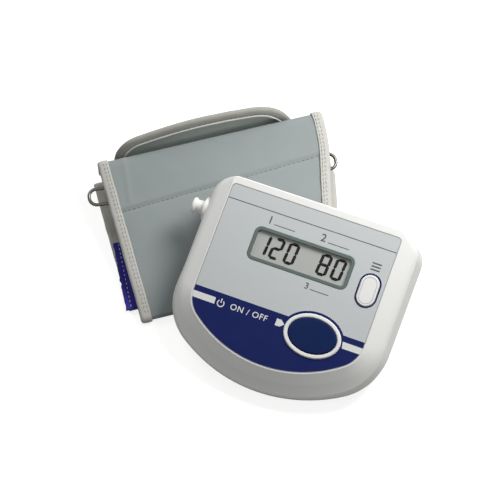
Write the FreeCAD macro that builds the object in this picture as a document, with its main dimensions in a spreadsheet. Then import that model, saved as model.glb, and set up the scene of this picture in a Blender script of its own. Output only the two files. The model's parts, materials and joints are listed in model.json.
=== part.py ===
"""Upper-arm blood pressure monitor: a wedge-shaped display unit leaning on its folded cuff.

All sizes are millimetres. Two frames are used.
- Deck frame, for the unit: x to its right, y to its back, z out of the display deck. The origin is
  the middle of the label's straight back edge. The whole unit is built here, then put down.
- Cuff frame, for the cuff and the row: x along the cuff's width, the near edge on the -y side,
  z up from the table. The row's origin is the bottom centre of everything.
"""
import FreeCAD, Part
import math
import os
import Sketcher
from FreeCAD import Placement, Rotation, Vector

doc = FreeCAD.newDocument("arm_monitor")
sheet = doc.addObject("Spreadsheet::Sheet", "sizes")
row = 0


def cell(alias, value):
    """Write one driving dimension into the sheet and return its value."""
    global row
    row += 1
    sheet.set("A%d" % row, alias)
    sheet.set("B%d" % row, str(value))
    sheet.setAlias("B%d" % row, alias)
    return float(value)


# ---- driving dimensions ------------------------------------------------------------------------
# The unit's outer outline and its label, both a D: straight back, straight sides, round front.
cell("unit_half", 62)
UNIT_BACK = cell("unit_back", 5.5)
cell("unit_corner", 14)
cell("unit_blend", 35)
cell("unit_front", 81.2)
cell("label_half", 51)
cell("label_back", 0)
cell("label_corner", 2.5)
cell("label_blend", 17.5)
cell("label_front", 72)
cell("rim_half", 52.2)
cell("rim_back", 4.4)
cell("rim_corner", 3.4)
cell("rim_blend", 18.7)
cell("rim_front", 73.2)
# The shoulder rounds the flank into the wall: one outline at each depth below the deck.
SHOULDER = ("shoulder_top", "shoulder_upper", "shoulder_lower", "shoulder_end")
SHOULDER_DEPTHS = (3.9, 5.3, 6.8, 8.3)
for name, values in zip(SHOULDER, ((58.6, 5.1, 10.3, 29.3, 78.4), (60.5, 5.3, 12.4, 32.4, 80.3),
                                   (61.8, 5.4, 13.6, 34.6, 82.4), (62.4, 5.4, 14, 35.4, 84.6))):
    for part, value in zip(("_half", "_back", "_corner", "_blend", "_front"), values):
        cell(name + part, value)
# The skirt is the widest outline, drawn on the sloping parting plane.
cell("skirt_half", 64.7)
cell("skirt_back", 3.9)
cell("skirt_corner", 14)
cell("skirt_blend", 36)
cell("skirt_front", 88.6)
FRONT_CENTRE = cell("front_centre", 22)
# Heights and walls. The deck is the plane z = 0; the base slopes away from it towards the back.
FLANK_DROP = cell("flank_drop", 6)
WALL = cell("wall", 2.2)
DECK = cell("deck", 2.6)
LABEL_RECESS = cell("label_recess", 0.6)
cell("label_film", 0.5)
FRONT_EDGE = cell("front_edge", 107.2)
FRONT_DEPTH = cell("front_depth", 19.1)
BASE_SLOPE = cell("base_slope", 10)
TRAY_DEPTH = cell("tray_depth", 10)
FLOOR = cell("floor", 2.2)
# Display and keys, placed on the deck.
LCD_X = cell("lcd_x", 0.5)
LCD_Y = cell("lcd_y", -29)
LCD_WIDE = cell("lcd_wide", 60)
LCD_HIGH = cell("lcd_high", 20)
LCD_BAND = cell("lcd_band", 2)
START_X = cell("start_x", 21.8)
START_Y = cell("start_y", -68.9)
START_LONG = cell("start_long", 14)
START_SHORT = cell("start_short", 9.7)
START_RING = cell("start_ring", 2.6)
MEMORY_X = cell("memory_x", 42.5)
MEMORY_Y = cell("memory_y", -34.5)
MEMORY_WIDE = cell("memory_wide", 10.6)
MEMORY_HIGH = cell("memory_high", 18.1)
KEY_GAP = cell("key_gap", 0.3)
KEY_TRAVEL = cell("key_travel", 0.8)
BOARD_TOP = cell("board_top", 7)
BOARD_THICK = cell("board_thick", 1.6)
# Air connection on the left flank.
PLUG_Y = cell("plug_y", -17.4)
PLUG_Z = cell("plug_z", -13.5)
PLUG_BORE = cell("plug_bore", 3)
SOCKET_END = cell("socket_end", 50.4)
PORT_BOSS = cell("port_boss", 64)
# Battery bay under the back of the unit, four AA cells side by side.
BAY_FRONT = cell("bay_front", -55)
BAY_WIDE = cell("bay_wide", 60)
BAY_LONG = cell("bay_long", 53.5)
BAY_HIGH = cell("bay_high", 17.4)
COVER_THICK = cell("cover_thick", 2)
COVER_WIDE = cell("cover_wide", 66)
CELL_RADIUS = cell("cell_radius", 7.1)
CELL_LONG = cell("cell_long", 49.2)
CELL_PITCH = cell("cell_pitch", 14.6)
# How the unit leans: turned on the table, back edge up on the cuff, left side a touch higher.
UNIT_YAW = cell("unit_yaw", -37.5)
UNIT_PITCH = cell("unit_pitch", 20.2)
UNIT_ROLL = cell("unit_roll", 0.6)
UNIT_PLACE_X = cell("unit_place_x", 39)
UNIT_PLACE_Y = cell("unit_place_y", -85.3)
# Cuff: a flattened loop, high at the far fold and thin at the near one.
CUFF_HALF = cell("cuff_half", 70)
CUFF_LONG = cell("cuff_long", 101)
CUFF_HIGH = cell("cuff_high", 27)
CUFF_NEAR = cell("cuff_near", 4.8)
CLOTH = cell("cloth", 1.6)
LOWER_CLOTH = cell("lower_cloth", 1.8)
LINING = cell("lining", 2.4)
HEM_WRAP = cell("hem_wrap", 0.5)
PORT_X = cell("port_x", 35)
PORT_Y = cell("port_y", -82)
NIPPLE = cell("nipple", 2.4)
NIPPLE_LIFT = cell("nipple_lift", 3.46)
BINDING = cell("binding", 6)
RING_LONG = cell("ring_long", 153)
RING_WIDE = cell("ring_wide", 12)
RING_WIRE = cell("ring_wire", 1)
RING_YAW = cell("ring_yaw", -4.8)
FLAP_LEFT = cell("flap_left", -60.5)
FLAP_RIGHT = cell("flap_right", 53)
FLAP_TOP = cell("flap_top", 41)
FLAP_LEFT_TOP = cell("flap_left_top", 36)
FLAP_RIGHT_TOP = cell("flap_right_top", 38)
FLAP_LEFT_ROUND = cell("flap_left_round", 20)
FLAP_RIGHT_ROUND = cell("flap_right_round", 26)
doc.recompute()

FRONT_Y = -FRONT_EDGE
CUFF_FALL = (CUFF_HIGH - CUFF_NEAR) / (CUFF_LONG - 3)
CUFF_TILT = math.degrees(math.atan(CUFF_FALL))


# ---- small tools -------------------------------------------------------------------------------
def new_body(label):
    body = doc.addObject("PartDesign::Body", label)
    body.Label = label
    return body


def attach(body, kind, name, placement, role="XY_Plane"):
    """A sketch or datum plane of the body, on one of its own origin planes."""
    item = body.newObject(kind, name)
    plane = [f for f in body.Origin.OriginFeatures if f.Role == role][0]
    item.AttachmentSupport = [(plane, "")]
    item.MapMode = "FlatFace"
    item.AttachmentOffset = placement
    return item


def sketch_at(body, name, z):
    return attach(body, "Sketcher::SketchObject", name, Placement(Vector(0, 0, z), Rotation()))


def base_plane(lift):
    """Placement parallel to the sloping base, lifted off it along its normal."""
    turn = Rotation(Vector(1, 0, 0), -BASE_SLOPE)
    front = Vector(0, FRONT_Y, -FRONT_DEPTH)
    return Placement(front + turn.multVec(Vector(0, 0, lift)), turn)


def base_sketch(body, name, lift):
    return attach(body, "Sketcher::SketchObject", name, base_plane(lift))


def along_base(y):
    """Distance along the base from its front edge to the deck position y."""
    return (y - FRONT_Y) / math.cos(math.radians(BASE_SLOPE))


def size(sketch, kind, refs, value, expression):
    """One driving dimension of a sketch, bound to the sheet."""
    index = sketch.addConstraint(Sketcher.Constraint(kind, *refs, value))
    sketch.setExpression("Constraints[%d]" % index, expression)


def place(sketch, kind, refs, value, expression):
    """A driving offset from the origin, which may be zero or negative."""
    if abs(value) < 1e-6:
        axis = -1 if kind == "DistanceY" else -2
        sketch.addConstraint(Sketcher.Constraint("PointOnObject", refs[0], refs[1], axis))
    elif value > 0:
        size(sketch, kind, (-1, 1) + refs, value, expression)
    else:
        size(sketch, kind, refs + (-1, 1), -value, "-(%s)" % expression)


def arc(cx, cy, radius, start, end):
    circle = Part.Circle(Vector(cx, cy, 0), Vector(0, 0, 1), radius)
    return Part.ArcOfCircle(circle, math.radians(start), math.radians(end))


def join_tangent(sketch, edges):
    """Add a closed run of edges, each starting tangent where the last ends."""
    first = sketch.addGeometry(edges, False)[0]
    for i in range(len(edges)):
        after = first + (i + 1) % len(edges)
        sketch.addConstraint(Sketcher.Constraint("Tangent", first + i, 2, after, 1))
    return first


def d_outline(sketch, cells, grow):
    """A D: straight back, corner arcs, straight sides, blend arcs and one long front arc.

    cells names the sheet cells of half width, back, corner, blend and front radius.
    """
    values = [float(sheet.get(c)) + grow for c in cells]
    half, back, corner, blend, front = values
    bound = ["sizes.%s + %.3f" % (c, grow) for c in cells]
    across = half - blend
    drop = math.sqrt((front - blend) ** 2 - across ** 2)
    cy = -FRONT_CENTRE - drop
    turn = math.degrees(math.atan2(drop, across))
    first = join_tangent(sketch, [
        Part.LineSegment(Vector(half - corner, back, 0), Vector(corner - half, back, 0)),
        arc(corner - half, back - corner, corner, 90, 180),
        Part.LineSegment(Vector(-half, back - corner, 0), Vector(-half, cy, 0)),
        arc(-across, cy, blend, 180, 180 + turn),
        arc(0, -FRONT_CENTRE, front, 180 + turn, 360 - turn),
        arc(across, cy, blend, 360 - turn, 360),
        Part.LineSegment(Vector(half, cy, 0), Vector(half, back - corner, 0)),
        arc(half - corner, back - corner, corner, 0, 90),
    ])
    sketch.addConstraint(Sketcher.Constraint("Horizontal", first))
    sketch.addConstraint(Sketcher.Constraint("Vertical", first + 2))
    sketch.addConstraint(Sketcher.Constraint("Vertical", first + 6))
    sketch.addConstraint(Sketcher.Constraint("PointOnObject", first + 4, 3, -2))
    place(sketch, "DistanceX", (first + 6, 1), half, bound[0])
    place(sketch, "DistanceX", (first + 2, 1), -half, "-(%s)" % bound[0])
    place(sketch, "DistanceY", (first, 1), back, bound[1])
    place(sketch, "DistanceY", (first + 4, 3), -FRONT_CENTRE, "-sizes.front_centre")
    for edge, radius, name in ((1, corner, 2), (7, corner, 2), (3, blend, 3), (5, blend, 3), (4, front, 4)):
        size(sketch, "Radius", (first + edge,), radius, bound[name])


def outline_cells(name):
    """Names of the five cells that describe one D outline."""
    return [name + part for part in ("_half", "_back", "_corner", "_blend", "_front")]


UNIT, SKIRT, RIM, LABEL = [outline_cells(name) for name in ("unit", "skirt", "rim", "label")]


def rounded(sketch, x, y, wide, high, radius, grow=0.0):
    """A rounded rectangle about (x, y); with no radius its corners are square."""
    a, b, r = wide / 2 + grow, high / 2 + grow, radius + grow
    if radius <= 0:
        corners = [Vector(x + sx * a, y + sy * b, 0) for sx, sy in ((1, 1), (-1, 1), (-1, -1), (1, -1))]
        for i in range(4):
            sketch.addGeometry(Part.LineSegment(corners[i], corners[(i + 1) % 4]), False)
        return
    r = min(r, a, b)
    edges = []
    for i, (sx, sy) in enumerate(((1, 1), (-1, 1), (-1, -1), (1, -1))):
        edges.append(arc(x + sx * (a - r), y + sy * (b - r), r, 90 * i, 90 * i + 90))
        start = Vector(x + sx * (a - r), y + sy * (b - r), 0) + _spoke(r, 90 * i + 90)
        tx, ty = ((-1, 1), (-1, -1), (1, -1), (1, 1))[i]
        end = Vector(x + tx * (a - r), y + ty * (b - r), 0) + _spoke(r, 90 * i + 90)
        if (end - start).Length > 1e-6:
            edges.append(Part.LineSegment(start, end))
    sketch.addGeometry(edges, False)


def _spoke(radius, angle):
    return Vector(radius * math.cos(math.radians(angle)), radius * math.sin(math.radians(angle)), 0)


def ellipse(sketch, x, y, long, short):
    sketch.addGeometry(Part.Ellipse(Vector(x, y, 0), long, short), False)


def circle(sketch, x, y, radius):
    sketch.addGeometry(Part.Circle(Vector(x, y, 0), Vector(0, 0, 1), radius), False)


def pad(body, sketch, length, up=False, name=None):
    """Grow material from a sketch, down its normal unless up is set."""
    feature = body.newObject("PartDesign::Pad", name or sketch.Name + "_pad")
    feature.Profile = sketch
    feature.Reversed = not up
    set_length(feature, length)
    doc.recompute()
    return feature


def pocket(body, sketch, length, up=False, name=None):
    """Cut from a sketch, down its normal unless up is set."""
    feature = body.newObject("PartDesign::Pocket", name or sketch.Name + "_cut")
    feature.Profile = sketch
    feature.Reversed = up
    set_length(feature, length)
    doc.recompute()
    return feature


def set_length(feature, length):
    if isinstance(length, str):
        feature.setExpression("Length", length)
    else:
        feature.Length = length


def edges_near(shape, test):
    """Names of the edges whose every sample point passes the test."""
    found = []
    for i, edge in enumerate(shape.Edges):
        points = [edge.valueAt(edge.FirstParameter + k * (edge.LastParameter - edge.FirstParameter) / 4)
                  for k in range(5)]
        if all(test(p) for p in points):
            found.append("Edge%d" % (i + 1))
    return found


def dress(body, kind, test, amount, name):
    """Fillet or Chamfer the edges of the body's tip that pass the test."""
    tip = body.Tip
    names = edges_near(tip.Shape, test)
    feature = body.newObject("PartDesign::" + kind, name)
    feature.Base = (tip, names)
    if kind == "Fillet":
        feature.Radius = amount
    else:
        feature.Size = amount
    doc.recompute()
    return feature


def primitive(kind, name, sizes, placement):
    """A Part primitive whose sizes are numbers or sheet expressions."""
    item = doc.addObject("Part::" + kind, name)
    for key, value in sizes.items():
        if isinstance(value, str):
            item.setExpression(key, value)
        else:
            setattr(item, key, value)
    item.Placement = placement
    return item


def boolean(kind, name, base, tool):
    item = doc.addObject("Part::" + kind, name)
    item.Base = base
    item.Tool = tool
    return item


def turned(x, y, z, axis=(0, 0, 1), angle=0.0):
    return Placement(Vector(x, y, z), Rotation(Vector(*axis), angle))


unit_pieces = []     # everything in the deck frame
cuff_pieces = []     # everything in the cuff frame


# ---- housings ----------------------------------------------------------------------------------
def make_top_housing():
    """Deck, flared flanks and upper walls in one moulding, open below the parting plane."""
    body = new_body("top_housing")
    outlines = [sketch_at(body, "rim_top", 0), sketch_at(body, "rim_side", -0.4)]
    d_outline(outlines[0], RIM, -0.6)
    d_outline(outlines[1], RIM, 0.0)
    for name, depth in zip(SHOULDER, SHOULDER_DEPTHS):
        outlines.append(sketch_at(body, name + "_outline", -depth))
        d_outline(outlines[-1], outline_cells(name), 0.0)
    outlines.append(parting_sketch(body, "skirt", TRAY_DEPTH))
    d_outline(outlines[-1], SKIRT, 0.0)
    loft(body, "AdditiveLoft", "flanks_and_walls", outlines)
    inner_top = sketch_at(body, "inner_top", -FLANK_DROP - 2)
    d_outline(inner_top, UNIT, -WALL)
    inner_skirt = parting_sketch(body, "inner_skirt", TRAY_DEPTH - 0.5)
    d_outline(inner_skirt, SKIRT, -WALL)
    loft(body, "SubtractiveLoft", "inside", [inner_top, inner_skirt])
    under = sketch_at(body, "under_deck", -DECK)
    d_outline(under, LABEL, -1.5)
    pocket(body, under, 10)
    for i, (x, y) in enumerate(BOSSES):
        boss = base_sketch(body, "boss_%d" % i, TRAY_DEPTH)
        circle(boss, x, along_base(y), 3)
        rise = -base_point(x, y, TRAY_DEPTH).z - FLANK_DROP - 1.5
        pad(body, boss, rise / math.cos(math.radians(BASE_SLOPE)), up=True)
    pilots = base_sketch(body, "pilots", TRAY_DEPTH)
    for x, y in BOSSES:
        circle(pilots, x, along_base(y), 1.25)
    pocket(body, pilots, 6, up=True)
    recess = sketch_at(body, "label_seat", 0)
    d_outline(recess, LABEL, 0.05)
    pocket(body, recess, "sizes.label_recess")
    seat = sketch_at(body, "frame_seat", 0)
    rounded(seat, LCD_X, LCD_Y, LCD_WIDE, LCD_HIGH, 4, 0.1)
    pocket(body, seat, 1.6)
    window = sketch_at(body, "window_opening", 0)
    rounded(window, LCD_X, LCD_Y, LCD_WIDE - 7, LCD_HIGH - 7, 2)
    pocket(body, window, 10)
    keys = sketch_at(body, "key_openings", 0)
    ellipse(keys, START_X, START_Y, START_LONG + KEY_GAP, START_SHORT + KEY_GAP)
    rounded(keys, MEMORY_X, MEMORY_Y, MEMORY_WIDE, MEMORY_HIGH, MEMORY_WIDE / 2, KEY_GAP)
    pocket(body, keys, 10)
    boss = flank_sketch(body, "port_boss", PORT_BOSS)
    circle(boss, 0, 0, 7)
    pad(body, boss, 4.5, up=True)
    flange_seat = flank_sketch(body, "flange_seat", PORT_BOSS)
    circle(flange_seat, 0, 0, SOCKET_FLANGE + 0.15)
    pocket(body, flange_seat, 1.4, up=True)
    port = flank_sketch(body, "air_port", PORT_BOSS)
    circle(port, 0, 0, PLUG_BORE + 1.55)
    pocket(body, port, 17.6, up=True)
    unit_pieces.append(body)


BOSSES = [(56, -10), (-56, -10), (46.5, -80), (-46.5, -80)]
SOCKET_FLANGE = 6.2


def loft(body, kind, name, outlines):
    """Straight-ruled loft through outlines that have the same number of edges."""
    feature = body.newObject("PartDesign::" + kind, name)
    feature.Profile = outlines[0]
    feature.Sections = outlines[1:]
    feature.Ruled = True
    doc.recompute()


def parting_sketch(body, name, lift):
    """A sketch parallel to the base, its y = 0 under the deck's."""
    at = Placement(base_point(0, 0, lift), base_plane(0).Rotation)
    return attach(body, "Sketcher::SketchObject", name, at)


def flank_sketch(body, name, out):
    """A sketch square to the air plug, out to the left of the deck's middle line."""
    at = Placement(Vector(PLUG_Y, PLUG_Z, -out), Rotation())
    return attach(body, "Sketcher::SketchObject", name, at, "YZ_Plane")


def make_bottom_housing():
    """Sloping tray with a rounded base edge, battery bay, screw pillars and feet recesses."""
    body = new_body("bottom_housing")
    outlines = []
    for i, (lift, shrink) in enumerate(BASE_ROUND):
        outlines.append(parting_sketch(body, "tray_outline_%d" % i, lift))
        d_outline(outlines[-1], SKIRT, -shrink)
    loft(body, "AdditiveLoft", "tray", outlines)
    inner = parting_sketch(body, "inner", TRAY_DEPTH)
    d_outline(inner, SKIRT, -WALL)
    floor = parting_sketch(body, "floor_outline", FLOOR)
    d_outline(floor, SKIRT, -WALL - 1.5)
    loft(body, "SubtractiveLoft", "cavity", [inner, floor])
    bay_y = along_base(BAY_FRONT) + BAY_LONG / 2
    bay_wall = base_sketch(body, "bay_wall", 0.5)
    rounded(bay_wall, 0, bay_y, BAY_WIDE + 2.6, BAY_LONG + 2.6, 0)
    pad(body, bay_wall, BAY_HIGH + 0.7, up=True)
    cover_front = along_base(BAY_FRONT) - 2.5
    ledge_back = along_base(UNIT_BACK - 1)
    ledge = base_sketch(body, "cover_ledge", FLOOR - 0.5)
    rounded(ledge, 0, (cover_front - 2 + ledge_back) / 2, COVER_WIDE + 4, ledge_back - cover_front + 2, 0)
    pad(body, ledge, 2.2, up=True)
    bay = base_sketch(body, "bay", 0)
    rounded(bay, 0, bay_y, BAY_WIDE, BAY_LONG, 0)
    pocket(body, bay, "sizes.bay_high", up=True)
    cover_seat = base_sketch(body, "cover_seat", 0)
    rounded(cover_seat, 0, cover_front + 40, COVER_WIDE + 0.5, 80, 0)
    pocket(body, cover_seat, COVER_THICK + 0.2, up=True)
    pillars = base_sketch(body, "pillars", 0.5)
    for x, y in BOSSES:
        circle(pillars, x, along_base(y), 3.2)
    pad(body, pillars, TRAY_DEPTH - 0.5, up=True)
    wells = base_sketch(body, "screw_wells", 0)
    for x, y in BOSSES:
        circle(wells, x, along_base(y), 2.3)
    pocket(body, wells, 3, up=True)
    shanks = base_sketch(body, "screw_holes", 0)
    for x, y in BOSSES:
        circle(shanks, x, along_base(y), 1.3)
    pocket(body, shanks, 20, up=True)
    feet = base_sketch(body, "feet_recesses", 0)
    for x, y in FEET:
        circle(feet, x, along_base(y), 4.1)
    pocket(body, feet, 0.8, up=True)
    unit_pieces.append(body)


FEET = [(46, -20), (-46, -20), (42, -66), (-42, -66)]
# The tray's wall and its rounded lower edge: lift off the base, and how far inside the skirt.
BASE_ROUND = [(TRAY_DEPTH, 0.0), (4, 0.9), (1.8, 1.7), (0.45, 3.2), (0, 5.5)]


# ---- display deck ------------------------------------------------------------------------------
def make_label_panel():
    """Printed film in the deck's recess, cut out for the display frame and both keys."""
    body = new_body("label_panel")
    film = sketch_at(body, "film", -LABEL_RECESS)
    d_outline(film, LABEL, -0.1)
    pad(body, film, "sizes.label_film", up=True)
    holes = sketch_at(body, "holes", -LABEL_RECESS)
    rounded(holes, LCD_X, LCD_Y, LCD_WIDE, LCD_HIGH, 4, 0.1)
    ellipse(holes, START_X, START_Y, START_LONG + START_RING + 0.1, START_SHORT + START_RING + 0.1)
    rounded(holes, MEMORY_X, MEMORY_Y, MEMORY_WIDE, MEMORY_HIGH, MEMORY_WIDE / 2, KEY_GAP)
    pocket(body, holes, 2, up=True)
    unit_pieces.append(body)


def make_display():
    """Dark frame seated in the deck, clear window inside it, and the glass cell below."""
    frame = new_body("lcd_frame")
    outer = sketch_at(frame, "frame_outline", -1.6)
    rounded(outer, LCD_X, LCD_Y, LCD_WIDE, LCD_HIGH, 4)
    pad(frame, outer, 1.75, up=True)
    inner = sketch_at(frame, "frame_opening", -1.6)
    rounded(inner, LCD_X, LCD_Y, LCD_WIDE - 2 * LCD_BAND, LCD_HIGH - 2 * LCD_BAND, 2)
    pocket(frame, inner, 4, up=True)
    dress(frame, "Chamfer", lambda p: abs(p.z - 0.15) < 0.01, 0.25, "frame_edge")
    window = new_body("lcd_window")
    pane = sketch_at(window, "pane", -1.6)
    rounded(pane, LCD_X, LCD_Y, LCD_WIDE - 2 * LCD_BAND, LCD_HIGH - 2 * LCD_BAND, 2, -0.1)
    pad(window, pane, 0.8, up=True)
    module = new_body("lcd_module")
    glass = sketch_at(module, "glass", -DECK - 0.1)
    rounded(glass, LCD_X, LCD_Y, LCD_WIDE - 2, LCD_HIGH - 1, 0)
    pad(module, glass, 1.9)
    holder = sketch_at(module, "holder", -DECK - 2)
    rounded(holder, LCD_X, LCD_Y, LCD_WIDE + 2, LCD_HIGH + 1, 1)
    pad(module, holder, BOARD_TOP - DECK - 2)
    unit_pieces.extend([frame, window, module])


def make_keys():
    """Elliptical start key in a raised ring, and the slim memory key, each on a hidden flange."""
    start = new_body("start_button")
    cap = sketch_at(start, "cap", -DECK - 0.2)
    ellipse(cap, START_X, START_Y, START_LONG, START_SHORT)
    pad(start, cap, DECK + 1.4, up=True)
    dress(start, "Chamfer", lambda p: p.z > 1.1, 0.6, "cap_edge")
    flange = sketch_at(start, "flange", -DECK - 0.2)
    ellipse(flange, START_X, START_Y, START_LONG + 1.6, START_SHORT + 1.6)
    pad(start, flange, 0.8)
    stem = sketch_at(start, "stem", -DECK - 0.5)
    circle(stem, START_X, START_Y, 2)
    pad(start, stem, BOARD_TOP - DECK - 1.5)
    ring = new_body("start_button_ring")
    outer = sketch_at(ring, "ring_outline", -LABEL_RECESS)
    ellipse(outer, START_X, START_Y, START_LONG + START_RING, START_SHORT + START_RING)
    pad(ring, outer, 1.5, up=True)
    bore = sketch_at(ring, "ring_bore", -LABEL_RECESS)
    ellipse(bore, START_X, START_Y, START_LONG + KEY_GAP, START_SHORT + KEY_GAP)
    pocket(ring, bore, 3, up=True)
    dress(ring, "Chamfer", lambda p: p.z > 0.85, 0.5, "ring_edge")
    memory = new_body("memory_button")
    top = sketch_at(memory, "top", -DECK - 0.2)
    rounded(top, MEMORY_X, MEMORY_Y, MEMORY_WIDE, MEMORY_HIGH, MEMORY_WIDE / 2)
    pad(memory, top, DECK + 1.0, up=True)
    dress(memory, "Chamfer", lambda p: p.z > 0.75, 0.4, "top_edge")
    skirt = sketch_at(memory, "skirt", -DECK - 0.2)
    rounded(skirt, MEMORY_X, MEMORY_Y, MEMORY_WIDE, MEMORY_HIGH, MEMORY_WIDE / 2, 1.3)
    pad(memory, skirt, 0.8)
    post = sketch_at(memory, "post", -DECK - 0.5)
    circle(post, MEMORY_X, MEMORY_Y, 1.6)
    pad(memory, post, BOARD_TOP - DECK - 1.5)
    unit_pieces.extend([start, ring, memory])


# ---- works inside the unit ---------------------------------------------------------------------
def make_board():
    """Circuit board under the deck, with its switches, sounder and pressure sensor."""
    board = new_body("main_board")
    plate = sketch_at(board, "plate", -BOARD_TOP)
    right, front, back, notch = 48.5, -82, -14, 16
    corners = [Vector(right, back, 0), Vector(-right, back, 0), Vector(-right, front + notch, 0),
               Vector(notch - right, front, 0), Vector(right - notch, front, 0), Vector(right, front + notch, 0)]
    for i, corner in enumerate(corners):
        plate.addGeometry(Part.LineSegment(corner, corners[(i + 1) % len(corners)]), False)
    pad(board, plate, "sizes.board_thick")
    switches = new_body("key_switches")
    domes = sketch_at(switches, "domes", -BOARD_TOP)
    rounded(domes, START_X, START_Y, 6, 6, 1)
    rounded(domes, MEMORY_X, MEMORY_Y, 6, 6, 1)
    pad(switches, domes, 0.9 - KEY_TRAVEL + 0.05, up=True)
    sounder = new_body("sounder")
    drum = sketch_at(sounder, "drum", -BOARD_TOP - BOARD_THICK)
    circle(drum, 36, -62, 6)
    pad(sounder, drum, 4.2)
    sensor = new_body("pressure_sensor")
    block = sketch_at(sensor, "block", -BOARD_TOP - BOARD_THICK)
    rounded(block, -15, -72, 10, 10, 0)
    pad(sensor, block, 5)
    spout = sketch_at(sensor, "spout", -BOARD_TOP - BOARD_THICK - 5)
    circle(spout, -15, -72, 1.5)
    pad(sensor, spout, 2.5)
    unit_pieces.extend([board, switches, sounder, sensor])


def base_point(x, y, lift):
    """Deck-frame point above the base at the deck position y, lifted along the base's normal."""
    return base_plane(0).multVec(Vector(x, along_base(y), lift))


def make_air_works():
    """Pump, release valve and the hoses between them and the air socket."""
    lie = Rotation(Vector(1, 0, 0), 90 - BASE_SLOPE)
    pump_rise, pump_back = FLOOR + 10.2, along_base(-4)
    pump_at = Placement(base_plane(0).multVec(Vector(44.2, pump_back, pump_rise)), lie)
    motor = primitive("Cylinder", "pump_motor", {"Radius": 8.8, "Height": 24}, pump_at)
    head = primitive("Box", "pump_head", {"Length": 17.6, "Width": 17.6, "Height": 13},
                     pump_at.multiply(turned(-8.8, -8.8, 23.9)))
    nozzle = primitive("Cylinder", "pump_nozzle", {"Radius": 1.6, "Height": 5},
                       pump_at.multiply(turned(0, 0, 36.8)))
    can = boolean("Fuse", "pump_can", motor, head)
    pump = boolean("Fuse", "air_pump", can, nozzle)
    pump.Label = "air_pump"
    valve_rise, valve_back = FLOOR + 8.3, along_base(-28)
    valve_at = Placement(base_plane(0).multVec(Vector(-46, valve_back, valve_rise)), lie)
    coil = primitive("Box", "valve_coil", {"Length": 13, "Width": 16, "Height": 16},
                     valve_at.multiply(turned(-6.5, -8, 0)))
    port = primitive("Cylinder", "valve_port", {"Radius": 1.6, "Height": 5.1},
                     valve_at.multiply(turned(0, 0, 15.9)))
    tail = primitive("Cylinder", "valve_tail", {"Radius": 1.6, "Height": 3.1},
                     valve_at.multiply(turned(0, 0, -3)))
    block = boolean("Fuse", "valve_body", coil, port)
    valve = boolean("Fuse", "release_valve", block, tail)
    valve.Label = "release_valve"
    front = along_base(-60)
    lane = [Vector(44.2, pump_back - 41.8, pump_rise), Vector(44.2, front, pump_rise), Vector(30, front, 6.6),
            Vector(-34, front, 6.6), Vector(-46, front, valve_rise), Vector(-46, valve_back - 21, valve_rise)]
    add_hose("pump_hose", [base_plane(0).multVec(p) for p in lane], 2.2)
    valve_end = base_plane(0).multVec(Vector(-46, valve_back + 3, valve_rise))
    approach = base_plane(0).multVec(Vector(-46, valve_back + 9, valve_rise))
    add_hose("socket_hose", [Vector(-SOCKET_END, PLUG_Y, PLUG_Z), Vector(-43, PLUG_Y, PLUG_Z),
                             approach + Vector(1, 3, 5), approach, valve_end], 1.9)
    unit_pieces.extend([pump, valve])


def rounded_path(points, share=0.45):
    """Straight runs joined by tangent arcs, each as large as its two runs allow."""
    edges, start = [], points[0]
    for before, corner, after in zip(points, points[1:], points[2:]):
        into, out = (before - corner), (after - corner)
        reach = share * min(into.Length, out.Length)
        a = corner + Vector(into).normalize() * reach
        b = corner + Vector(out).normalize() * reach
        middle_way = (Vector(into).normalize() + Vector(out).normalize()).normalize()
        half_angle = into.getAngle(out) / 2
        radius = reach * math.tan(half_angle)
        centre = corner + middle_way * (radius / math.sin(half_angle))
        edges.append(Part.LineSegment(start, a).toShape())
        edges.append(Part.Arc(a, centre - middle_way * radius, b).toShape())
        start = b
    edges.append(Part.LineSegment(start, points[-1]).toShape())
    return Part.Wire(edges)


def swept(path, radius, closed=False):
    """A round bar of the radius along a wire."""
    edge = path.Edges[0]
    way = edge.tangentAt(edge.FirstParameter)
    ring = Part.Wire(Part.Circle(edge.valueAt(edge.FirstParameter), way, radius).toShape())
    return path.makePipeShell([ring], True, False, 2)


def add_hose(name, points, radius):
    """A hose along the rounded route, its bends taken in short mitred steps."""
    spots = []
    for edge in rounded_path(points).Edges:
        bend = edge.Curve.TypeId == "Part::GeomCircle"
        steps = max(2, math.ceil(edge.Length / edge.Curve.Radius / HOSE_STEP)) if bend else 1
        spots += edge.discretize(steps + 1)[:-1]
    spots.append(points[-1])
    path = Part.makePolygon(spots)
    ring = Part.Wire(Part.Circle(spots[0], spots[1] - spots[0], radius).toShape())
    hose = doc.addObject("Part::Feature", name)
    hose.Shape = path.makePipeShell([ring], True, False, 1)
    unit_pieces.append(hose)


HOSE_STEP = math.radians(24)


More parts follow.
